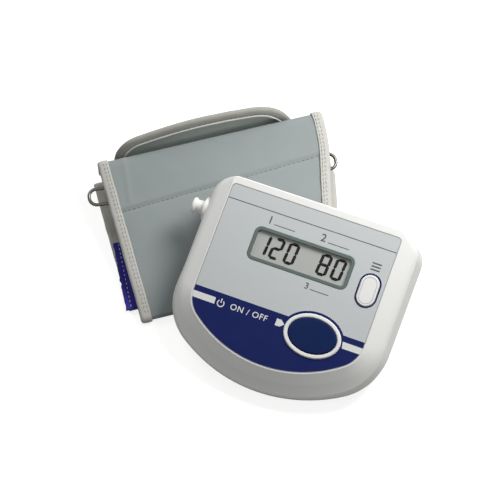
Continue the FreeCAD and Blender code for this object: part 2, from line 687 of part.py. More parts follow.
def make_air_connection():
    """Socket bush in the left flank and the flanged plug that pulls out of it."""
    out = Rotation(Vector(0, 1, 0), -90)
    socket = new_body("air_socket")
    profile = attach(socket, "Sketcher::SketchObject", "half_section", Placement(), "XZ_Plane")
    long, flange = PORT_BOSS - SOCKET_END - 0.2, 1.2
    turned_profile(profile, [(PLUG_BORE, 0), (PLUG_BORE + 1.5, 0), (PLUG_BORE + 1.5, long - flange),
                             (SOCKET_FLANGE, long - flange), (SOCKET_FLANGE, long), (PLUG_BORE, long)])
    revolve(socket, profile)
    socket.Placement = Placement(Vector(-SOCKET_END, PLUG_Y, PLUG_Z), out)
    plug = new_body("air_plug")
    shape = attach(plug, "Sketcher::SketchObject", "half_section", Placement(), "XZ_Plane")
    spigot, barrel, collar, hose_hole = PLUG_BORE - 0.05, 3.2, 4.3, 2.0
    turned_profile(shape, [(0, 0), (1.4, 0), (spigot, 0), (spigot, 1.6), (spigot - 0.7, 1.6),
                           (spigot - 0.7, 2.8), (spigot, 2.8), (spigot, 10), (barrel, 10), (barrel, 13.2),
                           (collar - 0.5, 14.9), (collar, 15.5), (collar, 16.9), (collar - 0.5, PLUG_LONG),
                           (hose_hole + 0.4, PLUG_LONG), (hose_hole, 17), (hose_hole, 9.6), (0, 8.6)])
    revolve(plug, shape)
    tip = Vector(10 - PORT_BOSS, PLUG_Y, PLUG_Z)
    plug.Placement = Placement(tip, out)
    seal = new_body("plug_seal")
    band = attach(seal, "Sketcher::SketchObject", "half_section", Placement(), "XZ_Plane")
    inside, outside = spigot - 0.68, spigot - 0.04
    turned_profile(band, [(inside, 1.9), (outside - 0.2, 1.9), (outside, 2.2),
                          (outside - 0.2, 2.5), (inside, 2.5)])
    revolve(seal, band)
    seal.Placement = Placement(tip, out)
    unit_pieces.extend([socket, plug, seal])


PLUG_LONG = 17.4


def turned_profile(sketch, points):
    """A closed half section in the sketch's x (radius) and y (along the axis)."""
    vectors = [Vector(r, z, 0) for r, z in points]
    for i, point in enumerate(vectors):
        after = vectors[(i + 1) % len(vectors)]
        if (after - point).Length > 1e-6:
            sketch.addGeometry(Part.LineSegment(point, after), False)


def revolve(body, sketch):
    feature = body.newObject("PartDesign::Revolution", sketch.Name + "_turn")
    feature.Profile = sketch
    feature.ReferenceAxis = (sketch, ["V_Axis"])
    feature.Angle = 360
    doc.recompute()


# ---- batteries, feet and screws ----------------------------------------------------------------
def make_battery_bay():
    """Sliding cover with grip ribs, four cells and their end contacts."""
    cover = new_body("battery_cover")
    front = along_base(BAY_FRONT) - 2.3
    back = along_base(UNIT_BACK) - 0.4
    plate = base_sketch(cover, "plate", 0)
    rounded(plate, 0, (front + back) / 2, COVER_WIDE, back - front, 0)
    pad(cover, plate, "sizes.cover_thick", up=True)
    grips = base_sketch(cover, "grips", 0)
    for i in range(5):
        rounded(grips, 0, back - 8 - 2.4 * i, 22, 1.2, 0.6)
    pocket(cover, grips, 0.6, up=True)
    cells, contacts = [], []
    bay_start, axis_lift, nub_long, leaf = along_base(BAY_FRONT), COVER_THICK + 0.3 + CELL_RADIUS, 1.3, 9
    for i in range(4):
        x, flipped = (i - 1.5) * CELL_PITCH, i % 2
        start = bay_start + 1.6 + (0 if flipped else nub_long)
        nub_start = start + CELL_LONG if flipped else start - nub_long
        can = Part.makeCylinder(CELL_RADIUS, CELL_LONG, Vector(x, start, axis_lift), Vector(0, 1, 0))
        nub = Part.makeCylinder(2.6, nub_long, Vector(x, nub_start, axis_lift), Vector(0, 1, 0))
        cells.append(can.fuse(nub))
        for y in (bay_start + 0.02, bay_start + BAY_LONG - 0.62):
            contacts.append(Part.makeBox(leaf, 0.6, leaf, Vector(x - leaf / 2, y, COVER_THICK + 2)))
    for name, group in (("aa_cells", cells), ("battery_contacts", contacts)):
        item = doc.addObject("Part::Feature", name)
        item.Shape = Part.makeCompound(group)
        item.Placement = base_plane(0)
        unit_pieces.append(item)
    unit_pieces.append(cover)


def make_feet_and_screws():
    feet, screws = [], []
    for x, y in FEET:
        pad_shape = Part.makeCone(3.4, 4.0, 1.6, Vector(x, along_base(y), -0.8), Vector(0, 0, 1))
        feet.append(pad_shape)
    for x, y in BOSSES:
        head = Part.makeCylinder(2.2, 1.6, Vector(x, along_base(y), 1.4))
        shank = Part.makeCylinder(1.2, 12, Vector(x, along_base(y), 3.0))
        screws.append(head.fuse(shank))
    for name, group in (("rubber_feet", feet), ("housing_screws", screws)):
        item = doc.addObject("Part::Feature", name)
        item.Shape = Part.makeCompound(group)
        item.Placement = base_plane(0)
        unit_pieces.append(item)


# ---- cuff --------------------------------------------------------------------------------------
def cuff_top(y, depth=0.0):
    """Height of the upper panel's outer surface at y, less a depth measured square to it."""
    return CUFF_NEAR + (y + CUFF_LONG - 3) * CUFF_FALL - depth / math.cos(math.radians(CUFF_TILT))


def on_panel(x, y, depth=0.0, yaw=0.0):
    """Placement on the sloping upper panel, its z square to the cloth."""
    turn = Rotation(Vector(1, 0, 0), CUFF_TILT).multiply(Rotation(Vector(0, 0, 1), yaw))
    return Placement(Vector(x, y, cuff_top(y, depth)), turn)


def cuff_line():
    """Side view of the upper panel's outer surface: near fold, long slope, far fold, back drop."""
    near_r, far_r, drop = 2.3, 3.2, 10
    into = Vector(0, math.sin(math.radians(CUFF_TILT)), -math.cos(math.radians(CUFF_TILT)))
    near = Vector(0, near_r - CUFF_LONG, 0)
    near.z = cuff_top(near.y)
    far = Vector(0, -far_r, cuff_top(-far_r))
    near_mid, far_mid = near + into * near_r, far + into * far_r

    def at(centre, radius, angle):
        a = math.radians(angle)
        return centre + Vector(0, radius * math.cos(a), radius * math.sin(a))
    fold_end = at(far_mid, far_r, 0)
    lap = at(near_mid, near_r, 270)
    return Part.Wire([
        Part.LineSegment(lap + Vector(0, 7, 0), lap).toShape(),
        Part.Arc(lap, at(near_mid, near_r, 180), near).toShape(),
        Part.LineSegment(near, far).toShape(),
        Part.Arc(far, at(far_mid, far_r, 50), fold_end).toShape(),
        Part.LineSegment(fold_end, fold_end - Vector(0, 0, drop)).toShape(),
    ])


def cloth(line, outside, thick, left, right):
    """A sheet that follows a side-view line, from outside beyond it to thick below it."""
    start = line.makeOffset2D(-outside, 0, False, True) if outside else line
    face = start.makeOffset2D(thick, 0, True, True)
    solid = face.extrude(Vector(right - left, 0, 0))
    solid.translate(Vector(left, 0, 0))
    return solid


def plan_prism(inset):
    """Upright prism of the upper panel's plan: straight left edge, right edge drawn in at the near end."""
    left, right, near, far = inset - CUFF_HALF - 1, CUFF_HALF - 1.2 - inset, -CUFF_LONG - 5, 10
    curve_top, curve_mid = Vector(right, -4, 0), Vector(right - 0.8, -17, 0)
    curve_end = Vector(right - 3.25, -30, 0)
    near_right = Vector(right - 3.25 - (curve_end.y - near) * 0.254, near, 0)
    wire = Part.Wire([
        Part.LineSegment(Vector(left, far, 0), Vector(left, near, 0)).toShape(),
        Part.LineSegment(Vector(left, near, 0), near_right).toShape(),
        Part.LineSegment(near_right, curve_end).toShape(),
        Part.Arc(curve_end, curve_mid, curve_top).toShape(),
        Part.LineSegment(curve_top, Vector(right, far, 0)).toShape(),
        Part.LineSegment(Vector(right, far, 0), Vector(left, far, 0)).toShape(),
    ])
    prism = Part.Face(wire).extrude(Vector(0, 0, 60))
    prism.translate(Vector(0, 0, -5))
    return prism


def shape_piece(name, shape, pieces, placement=None):
    item = doc.addObject("Part::Feature", name)
    item.Shape = shape.removeSplitter() if len(shape.Solids) == 1 else shape
    if placement:
        item.Placement = placement
    pieces.append(item)
    return item


def make_upper_panel():
    """Outer cloth with its folds, the lining with the bladder sealed in it, and both side bindings."""
    line = cuff_line()
    edge = 0.6
    sheet_cloth = cloth(line, 0, CLOTH, -90, 90).common(plan_prism(edge))
    shape_piece("cuff_upper_panel", sheet_cloth, cuff_pieces)
    wrap = cloth(line, HEM_WRAP, CLOTH + 2 * HEM_WRAP, -90, 90)
    rim = wrap.common(plan_prism(0)).cut(plan_prism(BINDING)).cut(sheet_cloth)
    rim = rim.cut(Part.makeBox(200, 200, 10, Vector(-100, -150, -10)))
    sides = sorted(rim.Solids, key=lambda s: s.CenterOfMass.x)
    shape_piece("left_binding", sides[0], cuff_pieces)
    shape_piece("right_binding", sides[-1], cuff_pieces)
    long = 52.0
    pack = Part.makeBox(2 * CUFF_HALF, long, LINING, Vector(-CUFF_HALF, -long, -LINING))
    pack.Placement = on_panel(0, -38, CLOTH)
    pack = pack.common(plan_prism(2 * BINDING))
    bladder = Part.makeBox(90, 44, 1.2, Vector(-50, -48, -1.9))
    bladder.Placement = on_panel(0, -38, CLOTH)
    shape_piece("cuff_lining", pack.cut(bladder), cuff_pieces)
    shape_piece("cuff_bladder", bladder, cuff_pieces)


def make_lower_panel():
    """Table side of the loop, its edge bindings and the fastening patch along its left edge."""
    left, right, near, far = -CUFF_HALF - 5, CUFF_HALF - 0.7, 11 - CUFF_LONG, 1.2
    panel = Part.makeBox(right - left - 1.2, far - near, LOWER_CLOTH, Vector(left + 0.6, near, 0))
    top = LOWER_CLOTH + HEM_WRAP
    shape_piece("cuff_lower_panel", panel, cuff_pieces)
    for name, x in (("lower_left_binding", left), ("lower_right_binding", right - BINDING)):
        strip = Part.makeBox(BINDING, far - near, top, Vector(x, near, 0)).cut(panel)
        shape_piece(name, strip, cuff_pieces)
    lip_thick, patch_near, patch_long = 0.4, -89, 46
    patch = Part.makeBox(17, patch_long, 0.5, Vector(left - lip_thick, patch_near, top))
    lip = Part.makeBox(lip_thick, patch_long, top, Vector(left - lip_thick, patch_near, 0))
    shape_piece("fastener_patch", patch.fuse(lip), cuff_pieces)


def flap_outline(inset):
    """Face of the flap in its own plane: straight foot, upright sides, low crown and round corners."""
    left, right, foot, ease = FLAP_LEFT + inset, FLAP_RIGHT - inset, 0.4, 13
    left_round, right_round = FLAP_LEFT_ROUND - inset, FLAP_RIGHT_ROUND - inset
    left_mid = Vector(left + left_round, 0, FLAP_LEFT_TOP - FLAP_LEFT_ROUND)
    right_mid = Vector(right - right_round, 0, FLAP_RIGHT_TOP - FLAP_RIGHT_ROUND)

    def at(centre, radius, angle):
        a = math.radians(angle)
        return centre + Vector(radius * math.cos(a), 0, radius * math.sin(a))
    right_end, left_end = at(right_mid, right_round, 90 - ease), at(left_mid, left_round, 90 + ease)
    crown = Vector((left + right) / 2, 0, FLAP_TOP - inset)
    left_foot, right_foot = Vector(left, 0, foot), Vector(right, 0, foot)
    left_side, right_side = at(left_mid, left_round, 180), at(right_mid, right_round, 0)
    return Part.Face(Part.Wire([
        Part.LineSegment(left_foot, right_foot).toShape(),
        Part.LineSegment(right_foot, right_side).toShape(),
        Part.Arc(right_side, at(right_mid, right_round, 40), right_end).toShape(),
        Part.Arc(right_end, crown, left_end).toShape(),
        Part.Arc(left_end, at(left_mid, left_round, 140), left_side).toShape(),
        Part.LineSegment(left_side, left_foot).toShape(),
    ]))


FLAP_HINGE = Vector(0, 3.2, 1.7)
FLAP_LEAN = -5.0


def make_flap():
    """Free end of the strap: a rounded flap that stands up behind the far fold, with bound edges."""
    def slab(inset, thick):
        solid = flap_outline(inset).extrude(Vector(0, thick, 0))
        solid.translate(Vector(0, -thick / 2, -FLAP_HINGE.z))
        return solid
    core = slab(0.6, 1.8)
    band = slab(0, 2.8).cut(slab(5, 4)).cut(core)
    band = band.cut(Part.makeBox(300, 20, 3, Vector(-150, -10, -FLAP_HINGE.z)))
    stand = Placement(FLAP_HINGE, Rotation(Vector(1, 0, 0), FLAP_LEAN))
    shape_piece("cuff_flap", core, cuff_pieces, stand)
    shape_piece("flap_binding", band, cuff_pieces, stand)


def make_ring():
    """Flat wire ring whose rear bar runs through a sleeve under the far hem."""
    centre_x, bar_y, bar_depth = -5.6, -20.4, CLOTH + 1.9
    half, corner = RING_LONG / 2 - RING_WIRE, 4.5
    at = on_panel(centre_x, bar_y, bar_depth, RING_YAW)
    wide = RING_WIDE - 2 * RING_WIRE
    edges = []
    spots = [(half, 0), (-half, 0), (-half, -wide), (half, -wide)]
    for i in range(4):
        x0, y0 = spots[i]
        x1, y1 = spots[(i + 1) % 4]
        way = Vector(x1 - x0, y1 - y0, 0).normalize()
        start, end = Vector(x0, y0, 0) + way * corner, Vector(x1, y1, 0) - way * corner
        edges.append(Part.LineSegment(start, end).toShape())
        x2, y2 = spots[(i + 2) % 4]
        after = Vector(x2 - x1, y2 - y1, 0).normalize()
        centre = end + after * corner
        middle = centre + (way - after).normalize() * corner
        edges.append(Part.Arc(end, middle, Vector(x1, y1, 0) + after * corner).toShape())
    shape_piece("cuff_ring", swept(Part.Wire(edges), RING_WIRE), cuff_pieces, at)
    sleeve = Part.makeBox(118, 16, 3.6, Vector(-59 - centre_x - 2, -8, -1.7))
    bore = Part.makeCylinder(RING_WIRE + 0.3, 160, Vector(-80, 0, 0), Vector(1, 0, 0))
    shape_piece("ring_sleeve", sleeve.cut(bore), cuff_pieces, at)


def make_hose_port():
    """Flanged elbow that feeds the bladder, on the upper panel under the unit."""
    centre, along = Vector(0, 0, NIPPLE_LIFT), Vector(1, 0, 0)
    boss_half, boss_face, nipple_long = NIPPLE + 1.0, 3.6, 12.0
    flange = Part.makeCylinder(8, 0.4)
    boss_high = NIPPLE_LIFT + NIPPLE + 0.06
    boss = Part.makeCylinder(boss_half, boss_high)
    front = Part.makeBox(boss_face, 2 * boss_half, boss_high, Vector(0, -boss_half, 0))
    nipple = Part.makeCylinder(NIPPLE, boss_face + nipple_long, centre, along)
    elbow = flange.fuse([boss, front, nipple])
    air = Part.makeCylinder(NIPPLE - 1.2, boss_face + nipple_long + 2, centre - along, along)
    shape_piece("hose_port", elbow.cut(air), cuff_pieces, on_panel(PORT_X, PORT_Y))


# ---- assembly and export -----------------------------------------------------------------------
make_top_housing()
make_bottom_housing()
make_label_panel()
make_display()
make_keys()
make_board()
make_air_works()
make_air_connection()
make_battery_bay()
make_feet_and_screws()
make_upper_panel()
make_lower_panel()
make_flap()
make_ring()
make_hose_port()
doc.recompute()


def lean_unit():
    """Deck-frame placement of the unit: turned, tipped, and let down until it meets the table."""
    turn = Rotation(Vector(0, 0, 1), UNIT_YAW).multiply(
        Rotation(Vector(1, 0, 0), UNIT_PITCH)).multiply(Rotation(Vector(0, 1, 0), UNIT_ROLL))
    tray = [p for p in unit_pieces if p.Label == "bottom_housing"][0].Shape.copy()
    tray.Placement = Placement(Vector(), turn)
    lowest = tray.optimalBoundingBox(False, False).ZMin
    return Placement(Vector(UNIT_PLACE_X, UNIT_PLACE_Y, -lowest), turn)


lean = lean_unit()
for piece in unit_pieces:
    piece.Placement = lean.multiply(piece.Placement)
doc.recompute()
pieces = unit_pieces + cuff_pieces
box = FreeCAD.BoundBox()
for piece in pieces:
    box.add(piece.Shape.optimalBoundingBox(False, False))
centre = Placement(Vector(-box.Center.x, -box.Center.y, -box.ZMin), Rotation())
for piece in pieces:
    piece.Placement = centre.multiply(piece.Placement)
doc.recompute()

for item in doc.Objects:
    if "Invalid" in item.State or "Error" in item.State:
        raise SystemExit("failed feature: %s %s" % (item.Name, item.State))
os.makedirs("parts", exist_ok=True)
for piece in pieces:
    if piece.Shape.isNull() or not piece.Shape.isValid():
        raise SystemExit("bad shape: " + piece.Label)
    piece.Shape.exportStep("parts/%s.step" % piece.Label)
size_box = FreeCAD.BoundBox()
for piece in pieces:
    size_box.add(piece.Shape.optimalBoundingBox(False, False))
print("%d pieces, %.2f x %.2f x %.2f mm" % (len(pieces), size_box.XLength, size_box.YLength, size_box.ZLength))
print("deck frame placement", centre.multiply(lean))
print("cuff frame offset", centre.Base)
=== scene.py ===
"""Finish and soft goods for an upper-arm blood pressure monitor leaning on its folded cuff.

Meshes are in metres, in the record's frame. Sizes are written in millimetres and turned by MM.
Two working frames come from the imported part: the display deck's and the cuff's.
"""
import json
import random
from math import atan, atan2, copysign, cos, degrees, exp, pi, radians, sin, sqrt, tau

import bmesh
import bpy
from mathutils import Matrix, Vector, noise


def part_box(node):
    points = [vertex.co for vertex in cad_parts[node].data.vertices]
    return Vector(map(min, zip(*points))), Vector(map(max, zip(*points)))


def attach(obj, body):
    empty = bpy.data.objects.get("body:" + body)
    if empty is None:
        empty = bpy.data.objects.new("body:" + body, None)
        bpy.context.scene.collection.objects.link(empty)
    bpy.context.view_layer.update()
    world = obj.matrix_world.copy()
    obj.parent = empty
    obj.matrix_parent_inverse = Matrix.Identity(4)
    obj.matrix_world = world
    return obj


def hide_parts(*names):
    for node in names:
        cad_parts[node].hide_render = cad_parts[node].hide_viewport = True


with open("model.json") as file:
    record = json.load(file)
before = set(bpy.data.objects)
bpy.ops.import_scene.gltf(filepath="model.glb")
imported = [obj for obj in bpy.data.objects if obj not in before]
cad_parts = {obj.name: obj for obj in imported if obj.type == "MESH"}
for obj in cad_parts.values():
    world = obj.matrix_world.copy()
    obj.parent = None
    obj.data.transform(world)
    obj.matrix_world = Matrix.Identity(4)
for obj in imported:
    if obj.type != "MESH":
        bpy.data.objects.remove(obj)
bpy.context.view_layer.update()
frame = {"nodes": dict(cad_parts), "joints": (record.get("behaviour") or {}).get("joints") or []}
MM = 0.001
random.seed(7)


# ---- working frames ----
def joint(name):
    """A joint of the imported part, by its name."""
    return next(j for j in frame["joints"] if j["name"] == name)


def deck_frame():
    """Display deck: x to its right, y to its back, z out; origin midway along the label's back edge."""
    up = -Vector(joint("start_press")["axis"])
    right = -Vector(joint("plug_pull")["axis"])
    turn = Matrix((right, up.cross(right), up)).transposed()
    film = [turn.inverted() @ v.co for v in frame["nodes"]["label_panel"].data.vertices]
    xs, ys, zs = ([p[i] for p in film] for i in range(3))
    edge_gap, film_depth = 0.1 * MM, 0.1 * MM
    origin = turn @ Vector(((min(xs) + max(xs)) / 2, max(ys) + edge_gap, max(zs) + film_depth))
    return Matrix.Translation(origin) @ turn.to_4x4()


def cuff_frame():
    """Cuff: x across, y from near (negative) to the far fold, z up; origin under the far fold."""
    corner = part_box("cuff_lower_panel")[1]
    right, past_fold = 68.7 * MM, 1.2 * MM
    return Matrix.Translation((corner.x - right, corner.y - past_fold, 0))


DECK = deck_frame()
CUFF = cuff_frame()


def deck_spots(node):
    """A CAD node's points in the deck's frame, in mm."""
    into_deck = DECK.inverted()
    return [into_deck @ v.co / MM for v in frame["nodes"][node].data.vertices]


# ---- materials ----
def srgb(text):
    """Linear RGBA of an sRGB hex colour."""
    parts = [int(text[i:i + 2], 16) / 255 for i in (1, 3, 5)]
    return [c / 12.92 if c <= 0.04045 else ((c + 0.055) / 1.055) ** 2.4 for c in parts] + [1.0]


def add(tree, kind, links=None, **settings):
    """Add a node, set its properties and inputs; a linked input is given as another node's socket."""
    item = tree.nodes.new(kind)
    for key, value in settings.items():
        setattr(item, key, value)
    for key, value in (links or {}).items():
        if isinstance(value, bpy.types.NodeSocket):
            tree.links.new(value, item.inputs[key])
        else:
            item.inputs[key].default_value = value
    return item


def blank_material(name):
    """A material with an empty node tree."""
    material = bpy.data.materials.new(name)
    material.use_nodes = True
    material.node_tree.nodes.clear()
    return material, material.node_tree


def start_material(name, colour, roughness, **inputs):
    """A Principled material with its flat settings; patterns are linked to it afterwards."""
    material, tree = blank_material(name)
    shader = add(tree, "ShaderNodeBsdfPrincipled", {"Base Color": srgb(colour), "Roughness": roughness})
    for key, value in inputs.items():
        shader.inputs[key.replace("_", " ")].default_value = value
    add(tree, "ShaderNodeOutputMaterial", {"Surface": shader.outputs[0]})
    return material, tree, shader


def mottle(tree, shader, place, colour, spot_colour, spot_mm, amount):
    """Slow change between two close colours, as dye lots, handling and dust leave."""
    cloud = add(tree, "ShaderNodeTexNoise", {"Vector": place, "Scale": 1000 / spot_mm, "Detail": 3.0})
    blend = [a + (b - a) * amount for a, b in zip(srgb(colour), srgb(spot_colour))]
    mix = add(tree, "ShaderNodeMix", {"Factor": cloud.outputs["Fac"]}, data_type="RGBA")
    mix.inputs["A"].default_value = srgb(colour)
    mix.inputs["B"].default_value = blend
    tree.links.new(mix.outputs["Result"], shader.inputs["Base Color"])


def emboss(tree, shader, height, depth_mm):
    """Raise or sink the surface by a pattern's height."""
    bump = add(tree, "ShaderNodeBump", {"Height": height, "Distance": depth_mm * MM, "Strength": 1.0})
    tree.links.new(bump.outputs[0], shader.inputs["Normal"])


def object_place(tree):
    """Place in the part's own frame, in metres."""
    return add(tree, "ShaderNodeTexCoord").outputs["Object"]


def moulded_plastic(name, colour, roughness, grain_mm=0.5, depth_mm=0.012, gloss=0.5):
    """Injection-moulded ABS: a faint sheen over a spark-eroded grain, drawn coarser than real to show."""
    material, tree, shader = start_material(name, colour, roughness, IOR=1.53, Specular_IOR_Level=gloss)
    place = object_place(tree)
    mottle(tree, shader, place, colour, "#8C8B86", 18, 0.03)
    grain = add(tree, "ShaderNodeTexNoise", {"Vector": place, "Scale": 1000 / grain_mm, "Detail": 2.0})
    emboss(tree, shader, grain.outputs["Fac"], depth_mm)
    return material


def printed_ink(name, colour, roughness=0.42, gloss=0.5):
    """Screen-printed ink under a hard clear film: even, with a faint orange peel."""
    material, tree, shader = start_material(name, colour, roughness, IOR=1.5, Specular_IOR_Level=gloss)
    place = object_place(tree)
    mottle(tree, shader, place, colour, "#7A7F86", 9, 0.025)
    peel = add(tree, "ShaderNodeTexNoise", {"Vector": place, "Scale": 1000 / 2.2, "Detail": 1.0})
    emboss(tree, shader, peel.outputs["Fac"], 0.006)
    return material


def display_cell():
    """Reflective liquid crystal cell: a dull grey polariser with a fine brushed reflector behind it."""
    material, tree, shader = start_material("lcd_reflective_cell", "#B5B5B3", 0.5)
    place = object_place(tree)
    mottle(tree, shader, place, "#B6B6B4", "#8E908C", 14, 0.12)
    stretch = add(tree, "ShaderNodeMapping", {"Vector": place, "Scale": (400, 4000, 400)})
    lines = add(tree, "ShaderNodeTexNoise", {"Vector": stretch.outputs[0], "Scale": 1.0, "Detail": 1.0})
    emboss(tree, shader, lines.outputs["Fac"], 0.004)
    return material


def clear_acrylic():
    """Cast acrylic window: it lets the cell show, with a coated face that reflects very little."""
    material, tree = blank_material("clear_acrylic")
    through = add(tree, "ShaderNodeBsdfTransparent", {"Color": srgb("#FDFEFD")})
    gloss = add(tree, "ShaderNodeBsdfGlossy", {"Roughness": 0.08})
    mix = add(tree, "ShaderNodeMixShader", {0: 0.012, 1: through.outputs[0], 2: gloss.outputs[0]})
    add(tree, "ShaderNodeOutputMaterial", {"Surface": mix.outputs[0]})
    return material


WAVE_BAND = 0.314  # length of one band of a wave texture of scale 1


def uv_scaled(tree, wide_mm, long_mm):
    """The piece's own UV, stretched so that one unit is one millimetre."""
    place = add(tree, "ShaderNodeUVMap", uv_map="UVMap").outputs[0]
    return add(tree, "ShaderNodeMapping", {"Vector": place, "Scale": (wide_mm, long_mm, 1)}).outputs[0]


def woven_cloth(name, colour, shade, wide_mm, long_mm, thread_mm=0.55, depth_mm=0.05, sheen=0.12):
    """Woven nylon: soft dull cloth of two crossing sets of threads, drawn coarser than real to show."""
    material, tree, shader = start_material(name, colour, 0.78, Sheen_Weight=sheen, Sheen_Roughness=0.4,
                                            Specular_IOR_Level=0.25)
    place = uv_scaled(tree, wide_mm, long_mm)
    mottle(tree, shader, object_place(tree), colour, shade, 26, 0.5)
    waves = [add(tree, "ShaderNodeTexWave", {"Vector": place, "Scale": WAVE_BAND / thread_mm},
                 bands_direction=way, wave_profile="SIN").outputs["Fac"] for way in ("X", "Y")]
    cross = add(tree, "ShaderNodeMath", {0: waves[0], 1: waves[1]}, operation="MULTIPLY")
    slub = add(tree, "ShaderNodeTexNoise", {"Vector": place, "Scale": 0.35, "Detail": 4.0})
    height = add(tree, "ShaderNodeMath", {0: slub.outputs["Fac"], 1: 0.6, 2: cross.outputs[0]},
                 operation="MULTIPLY_ADD")
    emboss(tree, shader, height.outputs[0], depth_mm)
    return material


def ribbed_tape(name, colour, shade, long_mm, rib_mm=0.8):
    """Ribbed polyester edge tape: matt, with ribs across it that are drawn coarser than real to show."""
    material, tree, shader = start_material(name, colour, 0.85, Sheen_Weight=0.15, Sheen_Roughness=0.5,
                                            Specular_IOR_Level=0.2)
    place = uv_scaled(tree, 14, long_mm)
    mottle(tree, shader, object_place(tree), colour, shade, 5, 0.4)
    ribs = add(tree, "ShaderNodeTexWave", {"Vector": place, "Scale": WAVE_BAND / rib_mm, "Distortion": 0.6},
               bands_direction="Y", wave_profile="SIN")
    fuzz = add(tree, "ShaderNodeTexNoise", {"Vector": place, "Scale": 1.6, "Detail": 3.0})
    height = add(tree, "ShaderNodeMath", {0: ribs.outputs["Fac"], 1: 0.5, 2: fuzz.outputs["Fac"]},
                 operation="MULTIPLY_ADD")
    emboss(tree, shader, height.outputs[0], 0.09)
    return material


def loop_pile(name, colour, shade, pile_mm=1.1):
    """Brushed nylon hook pile: fibres that scatter light, drawn coarser than real to show as grain."""
    material, tree, shader = start_material(name, colour, 0.95, Sheen_Weight=0.5, Sheen_Roughness=0.35,
                                            Specular_IOR_Level=0.1)
    place = object_place(tree)
    mottle(tree, shader, place, colour, shade, 3, 0.6)
    pile = add(tree, "ShaderNodeTexVoronoi", {"Vector": place, "Scale": 1000 / pile_mm})
    emboss(tree, shader, pile.outputs["Distance"], 0.22)
    return material


def plain_thread(name, colour):
    """Spun polyester thread: its twist is a fine slanted ripple, drawn coarser than real to show."""
    material, tree, shader = start_material(name, colour, 0.7, Sheen_Weight=0.2)
    twist = add(tree, "ShaderNodeTexWave", {"Vector": object_place(tree), "Scale": 900.0},
                bands_direction="DIAGONAL")
    emboss(tree, shader, twist.outputs["Fac"], 0.03)
    return material


def nickel_wire():
    """Bright nickel plate on steel wire: it mirrors its surroundings, with a slightly uneven gloss."""
    material, tree, shader = start_material("nickel_plated_wire", "#5F5B55", 0.2, Metallic=1.0)
    place = object_place(tree)
    wear = add(tree, "ShaderNodeTexNoise", {"Vector": place, "Scale": 900.0, "Detail": 3.0})
    rough = add(tree, "ShaderNodeMapRange", {"Value": wear.outputs["Fac"], "To Min": 0.14, "To Max": 0.32})
    tree.links.new(rough.outputs[0], shader.inputs["Roughness"])
    emboss(tree, shader, wear.outputs["Fac"], 0.01)
    return material


def soft_rubber(name, colour, roughness=0.75):
    """Moulded silicone or vinyl: dull and dark, with a dusty bloom."""
    material, tree, shader = start_material(name, colour, roughness)
    place = object_place(tree)
    mottle(tree, shader, place, colour, "#8A8A88", 6, 0.12)
    bloom = add(tree, "ShaderNodeTexNoise", {"Vector": place, "Scale": 1600.0, "Detail": 2.0})
    emboss(tree, shader, bloom.outputs["Fac"], 0.02)
    return material


def drawn_metal(name, colour, roughness=0.34):
    """Deep-drawn or stamped steel: a soft metal gloss broken by faint tool lines."""
    material, tree, shader = start_material(name, colour, roughness, Metallic=1.0)
    stretch = add(tree, "ShaderNodeMapping", {"Vector": object_place(tree), "Scale": (300, 300, 6000)})
    lines = add(tree, "ShaderNodeTexNoise", {"Vector": stretch.outputs[0], "Scale": 1.0, "Detail": 2.0})
    emboss(tree, shader, lines.outputs["Fac"], 0.01)
    return material


SHELL = moulded_plastic("white_abs_shell", "#F1F1EE", 0.34)
KEY_WHITE = moulded_plastic("white_abs_key", "#EDECEA", 0.4, grain_mm=0.35)
KEY_NAVY = moulded_plastic("navy_abs_key", "#0A2251", 0.42, grain_mm=0.35, gloss=0.07)
FRAME_GREY = moulded_plastic("grey_green_abs_frame", "#56645F", 0.4)
PORT_GREY = moulded_plastic("grey_abs_port", "#9A9C9C", 0.5)
BLACK = moulded_plastic("black_abs", "#141414", 0.5)
FILM = printed_ink("satin_label_film", "#C6C9CA", 0.5, gloss=0.4)
INK_NAVY = printed_ink("navy_screen_ink", "#121F5A", 0.5, gloss=0.12)
INK_LIGHT = printed_ink("light_screen_ink", "#E4E5E3", 0.45)
INK_GREY = printed_ink("dark_grey_screen_ink", "#44484D", 0.5)
SEGMENT = printed_ink("lcd_dark_segment", "#0B0808", 0.6, gloss=0.1)
CELL = display_cell()
ACRYLIC = clear_acrylic()
WIRE = nickel_wire()
CUFF_CLOTH = woven_cloth("grey_nylon_weave", "#959C9C", "#858D8E", 140, 116)
UNDER_CLOTH = woven_cloth("grey_nylon_lining", "#8E9493", "#7E8584", 140, 92)
# Painted light: the flap's cloth gets a lighter colour than the cuff's to lift the shade it sits in behind
# the far fold.
FLAP_CLOTH_PAINTED_LIGHT = woven_cloth("flap_weave_painted_light", "#BAC3BD", "#A6AFA9", 112, 40, thread_mm=0.7, sheen=0.3)
TAPE = ribbed_tape("off_white_edge_tape", "#C8C7C1", "#ABA9A1", 120)
# Same off-white tape as the cuff's sides, painted darker: painted shade for its face turned from the key
# light.
FLAP_TAPE_PAINTED_SHADE = ribbed_tape("flap_tape_painted_shade", "#A8A7A0", "#8F8E87", 160)
